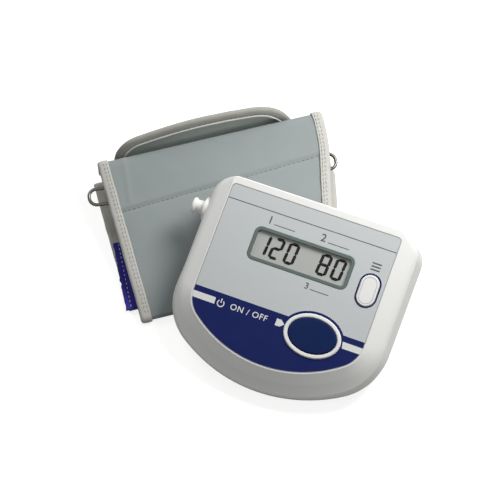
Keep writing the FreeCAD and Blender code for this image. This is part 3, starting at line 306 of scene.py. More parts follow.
# Same tape, painted near white on its rolled inner fold: a painted highlight where the fold catches the
# light.
ROLL_TAPE_PAINTED_HIGHLIGHT = ribbed_tape("tape_fold_painted_highlight", "#EDECE7", "#D8D6CF", 160)
NAVY_PILE = loop_pile("navy_hook_pile", "#3F3B9C", "#2E2A80")
THREAD_WHITE = plain_thread("white_polyester_thread", "#D8D8DE")
THREAD_GREY = plain_thread("grey_polyester_thread", "#5D6364")
THREAD_TAPE = plain_thread("beige_polyester_thread", "#7A776F")
RUBBER = soft_rubber("dark_tube_rubber", "#3A3A3B")
FOOT = soft_rubber("grey_foot_rubber", "#777775")
BOARD = printed_ink("green_solder_mask", "#1E5A34", 0.35)
STEEL = drawn_metal("drawn_steel_can", "#A3A3A4")
CONTACT = drawn_metal("nickel_spring_steel", "#B9B8B2", 0.3)
JACKET = printed_ink("green_cell_jacket", "#2C5240", 0.35)
# Grey line round the label: a painted shadow of the film's recess.
EDGE_SHADOW_INK = printed_ink("painted_edge_shadow", "#9A9A95", 0.5)
# Grey ring on the memory key: painted shade of the step round its finger pad.
KEY_STEP_SHADE = printed_ink("painted_key_step_shade", "#B4B4B8", 0.5)


for node, material in {
        "top_housing": SHELL, "bottom_housing": SHELL, "label_panel": FILM, "lcd_frame": FRAME_GREY,
        "lcd_window": ACRYLIC, "lcd_module": CELL, "start_button": KEY_NAVY, "start_button_ring": SHELL,
        "memory_button": KEY_WHITE, "main_board": BOARD, "key_switches": CONTACT, "sounder": BLACK,
        "pressure_sensor": BLACK, "pump_hose": RUBBER, "socket_hose": RUBBER, "air_pump": STEEL,
        "release_valve": STEEL, "air_socket": SHELL, "air_plug": SHELL, "plug_seal": RUBBER,
        "aa_cells": JACKET, "battery_contacts": CONTACT, "battery_cover": SHELL, "rubber_feet": FOOT,
        "housing_screws": CONTACT, "cuff_ring": WIRE, "hose_port": PORT_GREY}.items():
    finish = frame["nodes"][node].data.materials
    finish.clear()
    finish.append(material)


# ---- mesh tools ----
def rumple(a, b, c):
    """Smooth noise from -1 to 1, for waves and rough edges."""
    return noise.noise(Vector((a, b, c)))


def new_object(name, data):
    """An object in the scene, at the origin."""
    item = bpy.data.objects.new(name, data)
    bpy.context.scene.collection.objects.link(item)
    return item


def finish_piece(bm, name, material, body, smooth=True, place=None):
    """Turn a bmesh into a piece at the origin that rides on a body."""
    if place is not None:
        bmesh.ops.transform(bm, matrix=place, verts=bm.verts)
    mesh = bpy.data.meshes.new(name)
    bm.to_mesh(mesh)
    bm.free()
    mesh.polygons.foreach_set("use_smooth", [smooth] * len(mesh.polygons))
    mesh.materials.append(material)
    piece = new_object(name, mesh)
    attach(piece, body)
    return piece


def cloth_grid(columns, rows, shape, turn_over=False):
    """A grid with a unit UV, each point moved to shape(u, v)."""
    bm = bmesh.new()
    bm.loops.layers.uv.new("UVMap")
    bmesh.ops.create_grid(bm, x_segments=columns, y_segments=rows, size=0.5, calc_uvs=True)
    for v in bm.verts:
        v.co = shape(v.co.x + 0.5, v.co.y + 0.5)
    if turn_over:
        bmesh.ops.reverse_faces(bm, faces=bm.faces)
    return bm


def face_out(bm):
    """Turn the faces of a closed shape outwards."""
    bmesh.ops.recalc_face_normals(bm, faces=bm.faces)


def thicken(bm, thickness):
    """Close a sheet into a thin solid that grows behind the sheet's own normals."""
    bm.normal_update()
    bmesh.ops.solidify(bm, geom=bm.faces, thickness=thickness)
    face_out(bm)


def pull_out(bm, vec):
    """Close a sheet into a solid by pulling a copy of its faces along a vector."""
    made = bmesh.ops.extrude_face_region(bm, geom=bm.faces[:])
    moved = [v for v in made["geom"] if isinstance(v, bmesh.types.BMVert)]
    bmesh.ops.translate(bm, verts=moved, vec=vec)
    face_out(bm)


def thin_plate(points, low, high):
    """A flat closed plate on the deck from its outline, between two heights."""
    bm = bmesh.new()
    bm.faces.new([bm.verts.new((x * MM, y * MM, low * MM)) for x, y in points])
    pull_out(bm, (0, 0, (high - low) * MM))
    return bm


def arc_points(cx, cy, radius, start, end, count):
    """An arc in degrees, counted from the x axis towards y."""
    steps = [radians(start + (end - start) * i / count) for i in range(count + 1)]
    return [(cx + radius * cos(a), cy + radius * sin(a)) for a in steps]


def ellipse_points(cx, cy, long, short, count=72):
    """An ellipse by its two half axes."""
    steps = [tau * i / count for i in range(count)]
    return [(cx + long * cos(a), cy + short * sin(a)) for a in steps]


def stadium_points(cx, cy, wide, high, count=16):
    """An upright slot with round ends."""
    r = wide / 2
    return (arc_points(cx, cy + high / 2 - r, r, 0, 180, count)
            + arc_points(cx, cy - high / 2 + r, r, 180, 360, count))


def bar_points(cx, cy, wide, high):
    """A plain rectangle."""
    w, h = wide / 2, high / 2
    return [(cx - w, cy - h), (cx + w, cy - h), (cx + w, cy + h), (cx - w, cy + h)]


def ring_plate(outer, inner, low, high):
    """A closed flat ring between two outlines of the same number of points."""
    bm = bmesh.new()
    loops = []
    for points in (outer, inner):
        verts = [bm.verts.new((x * MM, y * MM, low * MM)) for x, y in points]
        loops.append([bm.edges.new(pair) for pair in zip(verts, verts[1:] + verts[:1])])
    bmesh.ops.bridge_loops(bm, edges=loops[0] + loops[1])
    pull_out(bm, (0, 0, (high - low) * MM))
    return bm


def join(parts):
    """One bmesh of several."""
    whole = bmesh.new()
    for part in parts:
        mesh = bpy.data.meshes.new("joined")
        part.to_mesh(mesh)
        part.free()
        whole.from_mesh(mesh)
        bpy.data.meshes.remove(mesh)
    return whole


def along(points, t):
    """Point and unit direction at the share t of a polyline's length."""
    steps = [(Vector(b) - Vector(a)).length for a, b in zip(points, points[1:])]
    target, run = t * sum(steps), 0.0
    for i, step in enumerate(steps):
        if run + step >= target or i == len(steps) - 1:
            a, b = Vector(points[i]), Vector(points[i + 1])
            return a.lerp(b, min(1.0, (target - run) / step)), (b - a).normalized()
        run += step


def stitch_row(name, path, material, body, long_mm, pitch_mm, thick_mm, zigzag=0.0):
    """A row of sewn stitches; path(t) gives a point, a direction along the row and an outward normal."""
    samples, wander, flatness = 40, 0.05, 0.8
    points = [path(i / samples)[0] for i in range(samples + 1)]
    length = sum((b - a).length for a, b in zip(points, points[1:]))
    count = int(length / (pitch_mm * MM))
    parts = []
    for i in range(count):
        point, way, out = path((i + 0.5) / count)
        side = out.cross(way).normalized()
        way = (way + side * zigzag * (-1) ** i + side * random.uniform(-wander, wander)).normalized()
        turn = Matrix((way, out.cross(way).normalized(), out)).transposed().to_4x4()
        bm = bmesh.new()
        bmesh.ops.create_uvsphere(bm, u_segments=8, v_segments=4, radius=0.5)
        long = long_mm * MM * random.uniform(0.92, 1.05)
        grow = Matrix.Diagonal((long, thick_mm * MM, thick_mm * MM * flatness, 1))
        bmesh.ops.transform(bm, matrix=Matrix.Translation(point) @ turn @ grow, verts=bm.verts)
        parts.append(bm)
    finish_piece(join(parts), name, material, body)


# ---- label artwork, in mm on the deck; prints that overlap differ in height ----
FILM_TOP, INK_HIGH, PRINT_GAP = -0.1, 0.06, 0.15
LABEL_HALF, LABEL_BLEND, LABEL_FRONT, FRONT_CENTRE = 51.0, 17.5, 72.0, 22.0
START = (21.8, -68.9, 14.0, 9.7)  # centre, half axes
MEMORY = (42.5, -34.5, 10.6, 18.1)  # centre, width, height
STRIPE_TOP, BAR_TOP, BAR_BOTTOM = -62.7, -66.1, -69.9


def label_edge(grow, count=40):
    """Front of the label from its left side round to its right, as arcs tangent to each other."""
    half, blend, front = LABEL_HALF + grow, LABEL_BLEND + grow, LABEL_FRONT + grow
    across = half - blend
    drop = sqrt((front - blend) ** 2 - across ** 2)
    turn = degrees(atan2(drop, across))
    cy = -FRONT_CENTRE - drop
    return (arc_points(-across, cy, blend, 180, 180 + turn, count // 2)
            + arc_points(0, -FRONT_CENTRE, front, 180 + turn, 360 - turn, count)[1:-1]
            + arc_points(across, cy, blend, 360 - turn, 360, count // 2))


def flat_mark(name, parts, material, body="unit"):
    """One flat piece on the deck, joined from thin plates."""
    finish_piece(join(parts), name, material, body, smooth=False, place=DECK)


def ink(points, rise):
    """One plate of ink on the label film."""
    return thin_plate(points, FILM_TOP, FILM_TOP + rise)


def navy_field():
    """Navy front of the label, its thin stripe, and the bulge round the start key."""
    half = LABEL_HALF - PRINT_GAP
    field = [(-half, STRIPE_TOP)] + label_edge(-PRINT_GAP) + [(half, STRIPE_TOP)]
    x, y, long, short = START
    halo, low = 4.1, FILM_TOP - 0.02
    flat_mark("label_navy_field", [
        thin_plate(field, low, FILM_TOP + 0.03),
        thin_plate(ellipse_points(x, y, long + halo, short + halo), low, FILM_TOP + 0.035),
    ], INK_NAVY)


def light_bars():
    """Light bars at both ends of the stripe, following the label's rounded sides."""
    edge = [p for p in label_edge(-PRINT_GAP, 160) if BAR_BOTTOM <= p[1] <= BAR_TOP]
    left = [p for p in edge if p[0] < 0]
    right = [p for p in edge if p[0] > 0]
    rise = 0.055
    flat_mark("label_light_bars", [
        ink(left + [(-36.7, BAR_BOTTOM), (-37.0, BAR_TOP)], rise),
        ink(right + [(38.9, BAR_TOP), (39.6, BAR_BOTTOM)], rise),
    ], INK_LIGHT)


def power_mark(x, y, radius=2.2, stroke=0.62):
    """The plain on-off sign: a ring open at the top with an upright bar."""
    gap = 38
    outer = arc_points(x, y, radius, 90 + gap, 450 - gap, 40)
    inner = arc_points(x, y, radius - stroke, 450 - gap, 90 + gap, 40)
    foot, head = y + 0.3, y + radius + 0.6
    upright = bar_points(x, (foot + head) / 2, stroke, head - foot)
    return [ink(mark, INK_HIGH) for mark in (outer + inner, upright)]


def lettering(text, x, y, high_mm, spread=1.0, weight=0.0):
    """Plain numerals or generic words, centred on (x, y), as a thin raised print."""
    raised, size_for_height = 0.05, 1.38
    curve = bpy.data.curves.new("plain_text", "FONT")
    curve.body = text
    curve.align_x, curve.align_y = "CENTER", "CENTER"
    curve.size = high_mm * size_for_height * MM
    curve.space_character = spread
    curve.offset = weight * MM
    curve.extrude = raised / 2 * MM
    holder = new_object("plain_text", curve)
    bpy.context.view_layer.update()
    mesh = bpy.data.meshes.new_from_object(holder.evaluated_get(bpy.context.evaluated_depsgraph_get()))
    bpy.data.objects.remove(holder)
    bm = bmesh.new()
    bm.from_mesh(mesh)
    bmesh.ops.translate(bm, verts=bm.verts, vec=(x * MM, y * MM, (FILM_TOP + raised / 2) * MM))
    return bm


def key_marks():
    """On-off sign, the words ON / OFF and an arrow tag, leading to the start key."""
    tag = [(-0.2, -65.9), (2.6, -65.9), (4.9, -67.9), (2.6, -69.9), (-0.2, -69.9)]
    flat_mark("label_key_marks", power_mark(-33.3, -68.4) + [
        lettering("ON / OFF", -16.4, -68.3, 3.5, 1.12, weight=0.05),
        ink(tag, INK_HIGH),
    ], INK_LIGHT)


def reading_marks():
    """Plain numbers and rules beside the three readings, and a list sign over the memory key."""
    rise, rule_high = 0.03, 0.45
    numbers = (("1", -23.0, -14.2, 4.6), ("2", 9.0, -14.2, 4.6), ("3", 9.2, -43.2, 3.6))
    marks = [lettering(*number, weight=0.07) for number in numbers]
    for x, y, wide in ((-14.0, -15.9, 12.5), (18.4, -15.9, 12.5), (17.0, -44.4, 11)):
        marks.append(ink(bar_points(x, y, wide, rule_high), rise))
    list_x, list_y, step = 42.4, -18.4, 1.9
    for i in range(3):
        marks.append(ink(bar_points(list_x, list_y - step * i, 5.4, 0.8), rise))
    flat_mark("label_reading_marks", marks, INK_GREY)


def top_rule():
    """Dark rule under the label's top band."""
    wide = 2 * (LABEL_HALF - PRINT_GAP)
    flat_mark("label_rule", [ink(bar_points(0, -9.0, wide, 0.5), 0.025)], INK_GREY)


def edge_line():
    """Painted shadow line round the label's edge, where the film sits in its recess."""
    gap, corner, wide, side_end = 0.1, 2.4, 0.32, -64

    def outline(inset):
        h, r = LABEL_HALF - gap - inset, corner - inset
        cy = -gap - inset - r
        return ([(h, side_end)] + arc_points(h - r, cy, r, 0, 90, 6)
                + arc_points(-h + r, cy, r, 90, 180, 6) + [(-h, side_end)] + label_edge(-gap - inset))
    # The grey ring is a painted shadow where the film meets its recess.
    line = ring_plate(outline(0), outline(wide), FILM_TOP, FILM_TOP + 0.045)
    flat_mark("label_edge_painted_shadow", [line], EDGE_SHADOW_INK)


def memory_surround():
    """Thin navy outline printed close round the memory key, a little heavier over its top."""
    x, y, wide, high = MEMORY
    gap, stroke, heavier = 0.3, 0.78, 0.12
    inner = stadium_points(x, y, wide + 2 * gap, high + 2 * gap)
    outer = stadium_points(x, y + heavier, wide + 2 * (gap + stroke), high + 2 * (gap + stroke))
    flat_mark("memory_key_outline", [ring_plate(outer, inner, FILM_TOP, FILM_TOP + 0.035)], INK_NAVY)


def memory_key_step_shade():
    """Grey ring on the memory key's top: painted shade of a step round its finger pad."""
    x, y, wide, high = MEMORY
    top = max(p.z for p in deck_spots("memory_button"))
    outer, inner = (stadium_points(x, y, wide - 2 * g, high - 2 * g) for g in (1.15, 1.5))
    # The grey ring stands in for the step's shade: painted shade.
    line = ring_plate(outer, inner, top - 0.02, top + 0.03)
    flat_mark("memory_key_step_shade", [line], KEY_STEP_SHADE, "memory_key")


def digit(shape, x, y, wide=6.6, high=13.1, stroke=1.75, slant=0.072):
    """One slanted seven-segment digit; shape lists the lit segments by letter, a to g."""
    w, h, s, gap = wide / 2, high / 2, stroke / 2, 0.2

    def flat(cy):
        tip, shoulder = w - gap - s, w - 2 * s - gap
        return [(-tip, cy), (-shoulder, cy + s), (shoulder, cy + s),
                (tip, cy), (shoulder, cy - s), (-shoulder, cy - s)]

    def tall(cx, cy):
        tip, blunt = h / 2 - gap, 0.035
        return [(cx, cy + tip - blunt), (cx + s, cy + tip - s), (cx + s, cy - tip + s),
                (cx, cy - tip), (cx - s, cy - tip + s), (cx - s, cy + tip - s)]
    side, row = w - s, h - s
    places = {"a": flat(row), "g": flat(0), "d": flat(-row),
              "f": tall(-side, row / 2), "b": tall(side, row / 2),
              "e": tall(-side, -row / 2), "c": tall(side, -row / 2)}
    outlines = [[(x + px + slant * py, y + py) for px, py in places[name]] for name in shape]
    return [thin_plate(outline, CELL_TOP, CELL_TOP + 0.03) for outline in outlines]


CELL_TOP = min(p.z for p in deck_spots("lcd_window")) + 0.05
LIT = {"0": "abcdef", "1": "bc", "2": "abged", "8": "abcdefg"}
READING = (("1", -22.3), ("2", -14.2), ("0", -5.4), ("8", 14.2), ("0", 22.8))


def display_face():
    """Reflective face of the display, carried out to the frame just under the clear window."""
    spots = deck_spots("lcd_window")
    x0, x1, y0, y1 = (f(p[i] for p in spots) for i in (0, 1) for f in (min, max))
    inset, corner = 0.05, 1.6
    reach = inset + corner
    left, right, low, high = x0 + reach, x1 - reach, y0 + reach, y1 - reach
    outline = []
    for cx, cy, start in ((right, high, 0), (left, high, 90), (left, low, 180), (right, low, 270)):
        outline += arc_points(cx, cy, corner, start, start + 90, 6)
    flat_mark("display_face", [thin_plate(outline, CELL_TOP - 0.04, CELL_TOP)], CELL)


def display_digits():
    """Readings in slanted seven-segment digits on the display face."""
    middle_y = -28.5
    parts = [plate for text, x in READING for plate in digit(LIT[text], x, middle_y)]
    flat_mark("display_digits", parts, SEGMENT)


def plug_grip():
    """Air plug turned as a spool: spigot with its seal groove, full barrel, flanged end and hose hole."""
    spots = deck_spots("air_plug")
    tip = max(p.x for p in spots)
    y, z = ((min(p[i] for p in spots) + max(p[i] for p in spots)) / 2 for i in (1, 2))
    spigot, groove, barrel, waist, flange, hole = 2.95, 2.25, 4.15, 3.75, 4.6, 2.0
    profile = [(0, 0), (spigot - 0.2, 0), (spigot, 0.2), (spigot, 1.6), (groove, 1.6), (groove, 2.8),
               (spigot, 2.8), (spigot, 9.9), (barrel - 0.3, 9.9), (barrel, 10.2), (barrel - 0.1, 12.2),
               (waist, 14.4), (waist + 0.1, 15.2), (flange - 0.3, 15.6), (flange, 15.9), (flange, 16.9),
               (flange - 0.4, 17.4), (hole + 0.4, 17.4), (hole, 17.0), (hole, 9.6), (0, 8.6)]
    bm = bmesh.new()
    verts = [bm.verts.new((tip - along_axis, y + r, z)) for r, along_axis in profile]
    edges = [bm.edges.new(pair) for pair in zip(verts, verts[1:])]
    bmesh.ops.spin(bm, geom=verts + edges, cent=(tip, y, z), axis=(1, 0, 0), angle=tau, steps=48,
                   use_merge=True)
    bmesh.ops.remove_doubles(bm, verts=bm.verts, dist=0.001)
    face_out(bm)
    bmesh.ops.scale(bm, vec=(MM, MM, MM), verts=bm.verts)
    sharp = radians(35)
    corners = [e for e in bm.edges if len(e.link_faces) == 2 and e.calc_face_angle() > sharp]
    bmesh.ops.split_edges(bm, edges=corners)
    piece = finish_piece(bm, "plug_grip", SHELL, "plug", place=DECK)
    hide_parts("air_plug")


plug_grip()
navy_field()
light_bars()
key_marks()
reading_marks()
top_rule()
edge_line()
memory_surround()
memory_key_step_shade()
display_face()
display_digits()


# ---- cuff outline, in mm ----
CUFF_LONG, CUFF_HIGH, CUFF_NEAR, SLOPE_NEAR_Y = 101.0, 27.0, 4.8, -98.0
FALL = (CUFF_HIGH - CUFF_NEAR) / -SLOPE_NEAR_Y
TILT = atan(FALL)
NEAR_R, FAR_R, BACK_DROP, UNDER_LAP = 2.3, 3.2, 10.0, 8.1
ABOVE_TABLE = 0.32
LEFT, RIGHT = -71.3, 68.8
TAPE_WIDE, TAPE_THICK, TAPE_PUFF, CLOTH_MIDDLE = 6.0, 2.1, 0.25, -0.85
NARROWING = 0.254


def top_height(y):
    """Height of the upper panel's slope above the table."""
    return CUFF_NEAR + (y - SLOPE_NEAR_Y) * FALL


def left_edge(y):
    """Left edge of the upper panel: it draws in a little towards the near fold."""
    drawn_in = 1.6
    return LEFT - drawn_in * y / CUFF_LONG


def right_edge(y):
    """Right edge of the upper panel: straight at the far fold, then drawn in towards the near one."""
    curve_start, curve_end, drawn_in = -4.0, -30.0, 3.25
    if y > curve_start:
        return RIGHT
    if y > curve_end:
        return RIGHT - drawn_in * ((curve_start - y) / (curve_start - curve_end)) ** 2
    return RIGHT - drawn_in - (curve_end - y) * NARROWING


def panel_x(y, inward, left_side):
    """Place across the upper panel, at a distance in from one of its side edges."""
    return left_edge(y) + inward if left_side else right_edge(y) - inward


def side_points():
    """Side view of the upper panel's outer face, (y, z), from its lap to its drop at the back."""
    slope = degrees(TILT)
    near_y, far_y = NEAR_R - CUFF_LONG, -FAR_R
    near = (near_y + NEAR_R * sin(TILT), top_height(near_y) - NEAR_R * cos(TILT))
    far = (far_y + FAR_R * sin(TILT), top_height(far_y) - FAR_R * cos(TILT))
    lap = near[1] - NEAR_R
    points = [(near[0] + UNDER_LAP, lap)]
    points += arc_points(near[0], near[1], NEAR_R, 270, 90 + slope, 14)
    points += arc_points(far[0], far[1], FAR_R, 90 + slope, 0, 12)
    points.append((far[0] + FAR_R, far[1] - BACK_DROP))
    return points


SIDE = [(0, y, z) for y, z in side_points()]


def side_at(t):
    """Point (y, z) on the side line and its outward normal."""
    point, way = along(SIDE, t)
    return point, Vector((0, -way.z, way.y))


def side_share(y_wanted):
    """Share of the side line at which the sloping top passes y."""
    lengths = [(Vector(b) - Vector(a)).length for a, b in zip(SIDE, SIDE[1:])]
    slope_start = 15  # index of the near fold's last point
    run = sum(lengths[:slope_start])
    start = SIDE[slope_start]
    return (run + (y_wanted - start[1]) / cos(TILT)) / sum(lengths)


def seam_y(x):
    """The hem's seam crosses the panel at a slight angle."""
    left, right = (-64.3, -34.0), (58.8, -28.1)
    return left[1] + (x - left[0]) * (right[1] - left[1]) / (right[0] - left[0])


def ease(value, low, high):
    """Smooth step from 0 at low to 1 at high."""
    t = min(1.0, max(0.0, (value - low) / (high - low)))
    return t * t * (3 - 2 * t)


def panel_relief(x, y):
    """Height of the cloth above its plain slope, in mm: hem, seam groove and slow waves."""
    seam = y - seam_y(x)
    hem = 0.55 * ease(seam, 0.3, 2.2) * ease(-y, 0.5, 6)
    groove = -0.5 * exp(-(seam / 0.8) ** 2)
    fold = 0.28 * exp(-((x - (LEFT + 15.5 + 0.09 * y)) / 1.6) ** 2) * ease(seam, 0, 6)
    broad = 0.34 * rumple(x / 34, y / 22, 3.7)
    narrow = 0.16 * rumple(x / 13, y / 15, 9.1)
    return hem + groove + fold + (broad + narrow) * ease(-y, 2, 12)


def on_side(x, t, lift):
    """Point on the upper panel's wrap at x, share t of the side line and lift above its outer face."""
    point, normal = side_at(t)
    return (Vector((x, point.y, point.z)) + normal * lift) * MM


# ---- upper panel ----
def upper_cloth():
    """Outer cloth of the cuff, folded over its near and far ends."""
    in_tape, below_face = 1.3, 0.35

    def shape(u, v):
        point, _ = side_at(v)
        left, right = (panel_x(point.y, in_tape, side) for side in (True, False))
        x = left + (right - left) * u
        return on_side(x, v, panel_relief(x, point.y) - below_face)
    bm = cloth_grid(150, 120, shape)
    thicken(bm, 1.1 * MM)
    piece = finish_piece(bm, "upper_cloth", CUFF_CLOTH, "cuff", place=CUFF)
    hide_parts("cuff_upper_panel")


def tape_section(t, wide, thick, puff=TAPE_PUFF):
    """Across a folded tape: distance in from its outer edge, and height about its middle."""
    half, turn_start, turn_end = thick / 2, 0.42, 0.58
    if t < turn_start:
        s = t / turn_start
        return wide + (half - wide) * s, half + puff * sin(pi * s)
    if t > turn_end:
        s = (t - turn_end) / (1 - turn_end)
        return half + (wide - half) * s, -half
    a = radians(90 + 180 * (t - turn_start) / (turn_end - turn_start))
    return half + half * cos(a), half * sin(a)


def tape_relief(x, y, inward):
    """How far a side tape's upper face follows the cloth beneath it."""
    return 0.5 * panel_relief(x, y) * ease(inward, 1.5, 5)


def side_tape(name, left_side, node):
    """Tape folded over one side edge of the upper panel, all along its wrap."""
    def shape(u, v):
        point, _ = side_at(v)
        inward, height = tape_section(u, TAPE_WIDE, TAPE_THICK)
        wobble = 0.22 * rumple(v * 17, 1.3 if left_side else 5.1, 0)
        x = panel_x(point.y, inward + wobble, left_side)
        relief = tape_relief(x, point.y, inward) if height > 0 else 0
        spot = on_side(x, v, CLOTH_MIDDLE + height + relief)
        spot.z = max(spot.z, ABOVE_TABLE * MM)
        return spot
    bm = cloth_grid(22, 150, shape, turn_over=not left_side)
    thicken(bm, 0.3 * MM)
    piece = finish_piece(bm, name, TAPE, "cuff", place=CUFF)
    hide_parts(node)


def tape_stitches(name, left_side, inward, zigzag):
    """Row of stitches along one side tape, at a distance in from its outer edge."""
    low, high = side_share(-97), side_share(-2)
    half, out_of_tape, step = TAPE_THICK / 2, 0.34, 0.01
    swell = TAPE_PUFF * sin(pi * (TAPE_WIDE - inward) / (TAPE_WIDE - half))

    def path(t):
        v = low + (high - low) * t
        point, normal = side_at(v)
        x = panel_x(point.y, inward, left_side)
        lift = CLOTH_MIDDLE + half + out_of_tape + swell + tape_relief(x, point.y, inward)
        here = CUFF @ on_side(x, v, 0)
        ahead = CUFF @ on_side(panel_x(side_at(v + step)[0].y, inward, left_side), v + step, 0)
        return CUFF @ on_side(x, v, lift), (ahead - here).normalized(), normal
    stitch_row(name, path, THREAD_TAPE, "cuff", long_mm=2.0, pitch_mm=2.6, thick_mm=0.4, zigzag=zigzag)


def seam_stitches():
    """Grey stitches in the seam groove, from tape to tape."""
    start, end = left_edge(-34) + TAPE_WIDE + 0.3, right_edge(-28) - TAPE_WIDE - 0.3
    sunk = 0.28

    def path(t):
        x = start + (end - start) * t
        y = seam_y(x)
        v = side_share(y)
        _, normal = side_at(v)
        way = Vector((end - start, seam_y(end) - seam_y(start), 0)).normalized()
        return CUFF @ on_side(x, v, panel_relief(x, y) - sunk), way, normal
    stitch_row("seam_stitches", path, THREAD_GREY, "cuff", long_mm=2.4, pitch_mm=2.9, thick_mm=0.5)


# ---- lower panel, patch and sleeve ----
LOWER_LEFT, LOWER_RIGHT, LOWER_NEAR, LOWER_FAR = -75.0, 69.3, -90.0, 1.2


def lower_right(y):
    """Right edge of the lower panel: straight, then drawn in beside the upper panel's."""
    straight_to = -32.0
    return LOWER_RIGHT - max(0.0, straight_to - y) * NARROWING


def lower_cloth():
    """Table side of the cuff: flat cloth with a slow ripple, its edges inside the tapes."""
    in_tape, high = 1.0, 1.6

    def shape(u, v):
        y = LOWER_NEAR + (LOWER_FAR - LOWER_NEAR) * v
        x = LOWER_LEFT + in_tape + (lower_right(y) - LOWER_LEFT - 2 * in_tape) * u
        ripple = 0.12 * (1 + rumple(x / 25, y / 18, 1.0))
        return Vector((x, y, high + ripple)) * MM
    bm = cloth_grid(60, 44, shape)
    thicken(bm, 1.3 * MM)
    piece = finish_piece(bm, "lower_cloth", UNDER_CLOTH, "cuff", place=CUFF)
    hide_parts("cuff_lower_panel")


def lower_tape(name, node, left_side):
    """Tape folded over one side edge of the lower panel, pressed flat on the table."""
    middle = 1.12

    def shape(u, v):
        inward, height = tape_section(u, TAPE_WIDE, TAPE_THICK, puff=0.12)
        y = LOWER_NEAR + (LOWER_FAR - LOWER_NEAR) * v
        inward += 0.3 * rumple(0, y / 9, 2)
        x = LOWER_LEFT + inward if left_side else lower_right(y) - inward
        ripple = 0.1 * rumple(x / 5, y / 7, 0)
        return Vector((x, y, max(ABOVE_TABLE, middle + height + ripple))) * MM
    bm = cloth_grid(22, 90, shape, turn_over=not left_side)
    thicken(bm, 0.3 * MM)
    piece = finish_piece(bm, name, TAPE, "cuff", place=CUFF)
    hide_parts(node)


PATCH_NEAR, PATCH_FAR = -90.6, -43.4


def patch_left(y):
    """Left edge of the fastening strip, which is sewn on a little askew."""
    far_x, slope = -73.9, 0.067
    return far_x - slope * (PATCH_FAR - y)


def hook_patch():
    """Navy fastening strip sewn over the lower panel's left edge, a little uneven along its sides."""
    wide, long, seam = 16.5, 45, 3.3
    rim_high, crown_rise, rim_wide = 2.35, 0.75, 0.9

    def shape(u, v):
        y = PATCH_NEAR + (PATCH_FAR - PATCH_NEAR) * v
        ragged = 0.45 * rumple(0.5, y / 2.6, 0)
        ragged += 0.25 * rumple(4.5, y / 1.1, 0)
        x = patch_left(y) + ragged * (1 - u) + wide * u
        end = 0.5 * rumple(u * 7, 2.0 if v > 0.5 else 7.0, 0) * (1 if v in (0.0, 1.0) else 0)
        edge = min(u * wide, (1 - u) * wide, v * long, (1 - v) * long)
        crown = rim_high + crown_rise * min(1.0, edge / rim_wide) ** 0.5
        groove = -0.3 * exp(-((u * wide - seam) / 0.6) ** 2)
        return Vector((x, y + end, crown + groove)) * MM
    bm = cloth_grid(40, 110, shape)
    thicken(bm, 0.9 * MM)
    piece = finish_piece(bm, "hook_patch", NAVY_PILE, "cuff", place=CUFF)
    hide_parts("fastener_patch")

    def path(t):
        y, high = PATCH_NEAR + 1 + (PATCH_FAR - PATCH_NEAR - 2) * t, 3.0
        return CUFF @ (Vector((patch_left(y) + seam, y, high)) * MM), Vector((0, 1, 0)), Vector((0, 0, 1))
    stitch_row("patch_stitches", path, THREAD_WHITE, "cuff", long_mm=1.9, pitch_mm=2.9, thick_mm=0.45)


def ring_sleeve():
    """Cloth tunnel under the hem that the wire ring's rear bar runs through."""
    axis = Vector(joint("ring_swing")["axis"])
    centre = Vector(joint("ring_swing")["pos_m"])
    low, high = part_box("ring_sleeve")
    up = Vector((0, -sin(TILT), cos(TILT)))
    side = up.cross(axis).normalized()
    start, end = (low.x - centre.x) / axis.x, (high.x - centre.x) / axis.x
    half_wide, half_high = 6.6 * MM, 1.55 * MM

    def squared(value, power):
        return copysign(abs(value) ** power, value)

    def shape(u, v):
        a = tau * u
        across, rise = squared(cos(a), 0.55) * half_wide, squared(sin(a), 0.9) * half_high
        flare = 1 + 0.04 * rumple(v * 9, cos(a), sin(a))
        return centre + axis * (start + (end - start) * v) + side * across * flare + up * rise
    bm = cloth_grid(40, 60, shape)
    bmesh.ops.remove_doubles(bm, verts=bm.verts, dist=0.01 * MM)
    thicken(bm, 0.4 * MM)
    piece = finish_piece(bm, "ring_sleeve_cloth", UNDER_CLOTH, "cuff")
    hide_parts("ring_sleeve")


def lining_pad():
    """Inner lining with the bladder sealed in it: a flat pad with a soft welded rim."""
    near, far, left, in_right, middle = -90.0, -38.5, -58.0, 13, 2.9

    def shape(side):
        def at(u, v):
            y = near + (far - near) * v
            x = left + (panel_x(y, in_right, False) - left) * u
            rim = min(1.0, 9 * min(u, 1 - u, v * 0.6, (1 - v) * 0.6))
            swell = 0.35 + 0.85 * sqrt(rim)
            return Vector((x, y, top_height(y) - middle + side * swell)) * MM
        return at
    halves = [cloth_grid(60, 36, shape(1)), cloth_grid(60, 36, shape(-1), turn_over=True)]
    bm = join(halves)
    rims = [e for e in bm.edges if e.is_boundary]
    bmesh.ops.bridge_loops(bm, edges=rims)
    face_out(bm)
    piece = finish_piece(bm, "lining_pad", UNDER_CLOTH, "cuff", place=CUFF)
    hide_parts("cuff_lining", "cuff_bladder")


# ---- standing flap ----
FLAP_LEFT, FLAP_RIGHT, FLAP_FOOT = -60.5, 53.0, 0.5
FLAP_LEFT_R, FLAP_RIGHT_R, FLAP_LEFT_TOP, FLAP_TOP, FLAP_RIGHT_TOP = 20.0, 30.0, 36.0, 39.4, 38.0
FLAP_BACK, FLAP_LEAN = 3.3, radians(2)


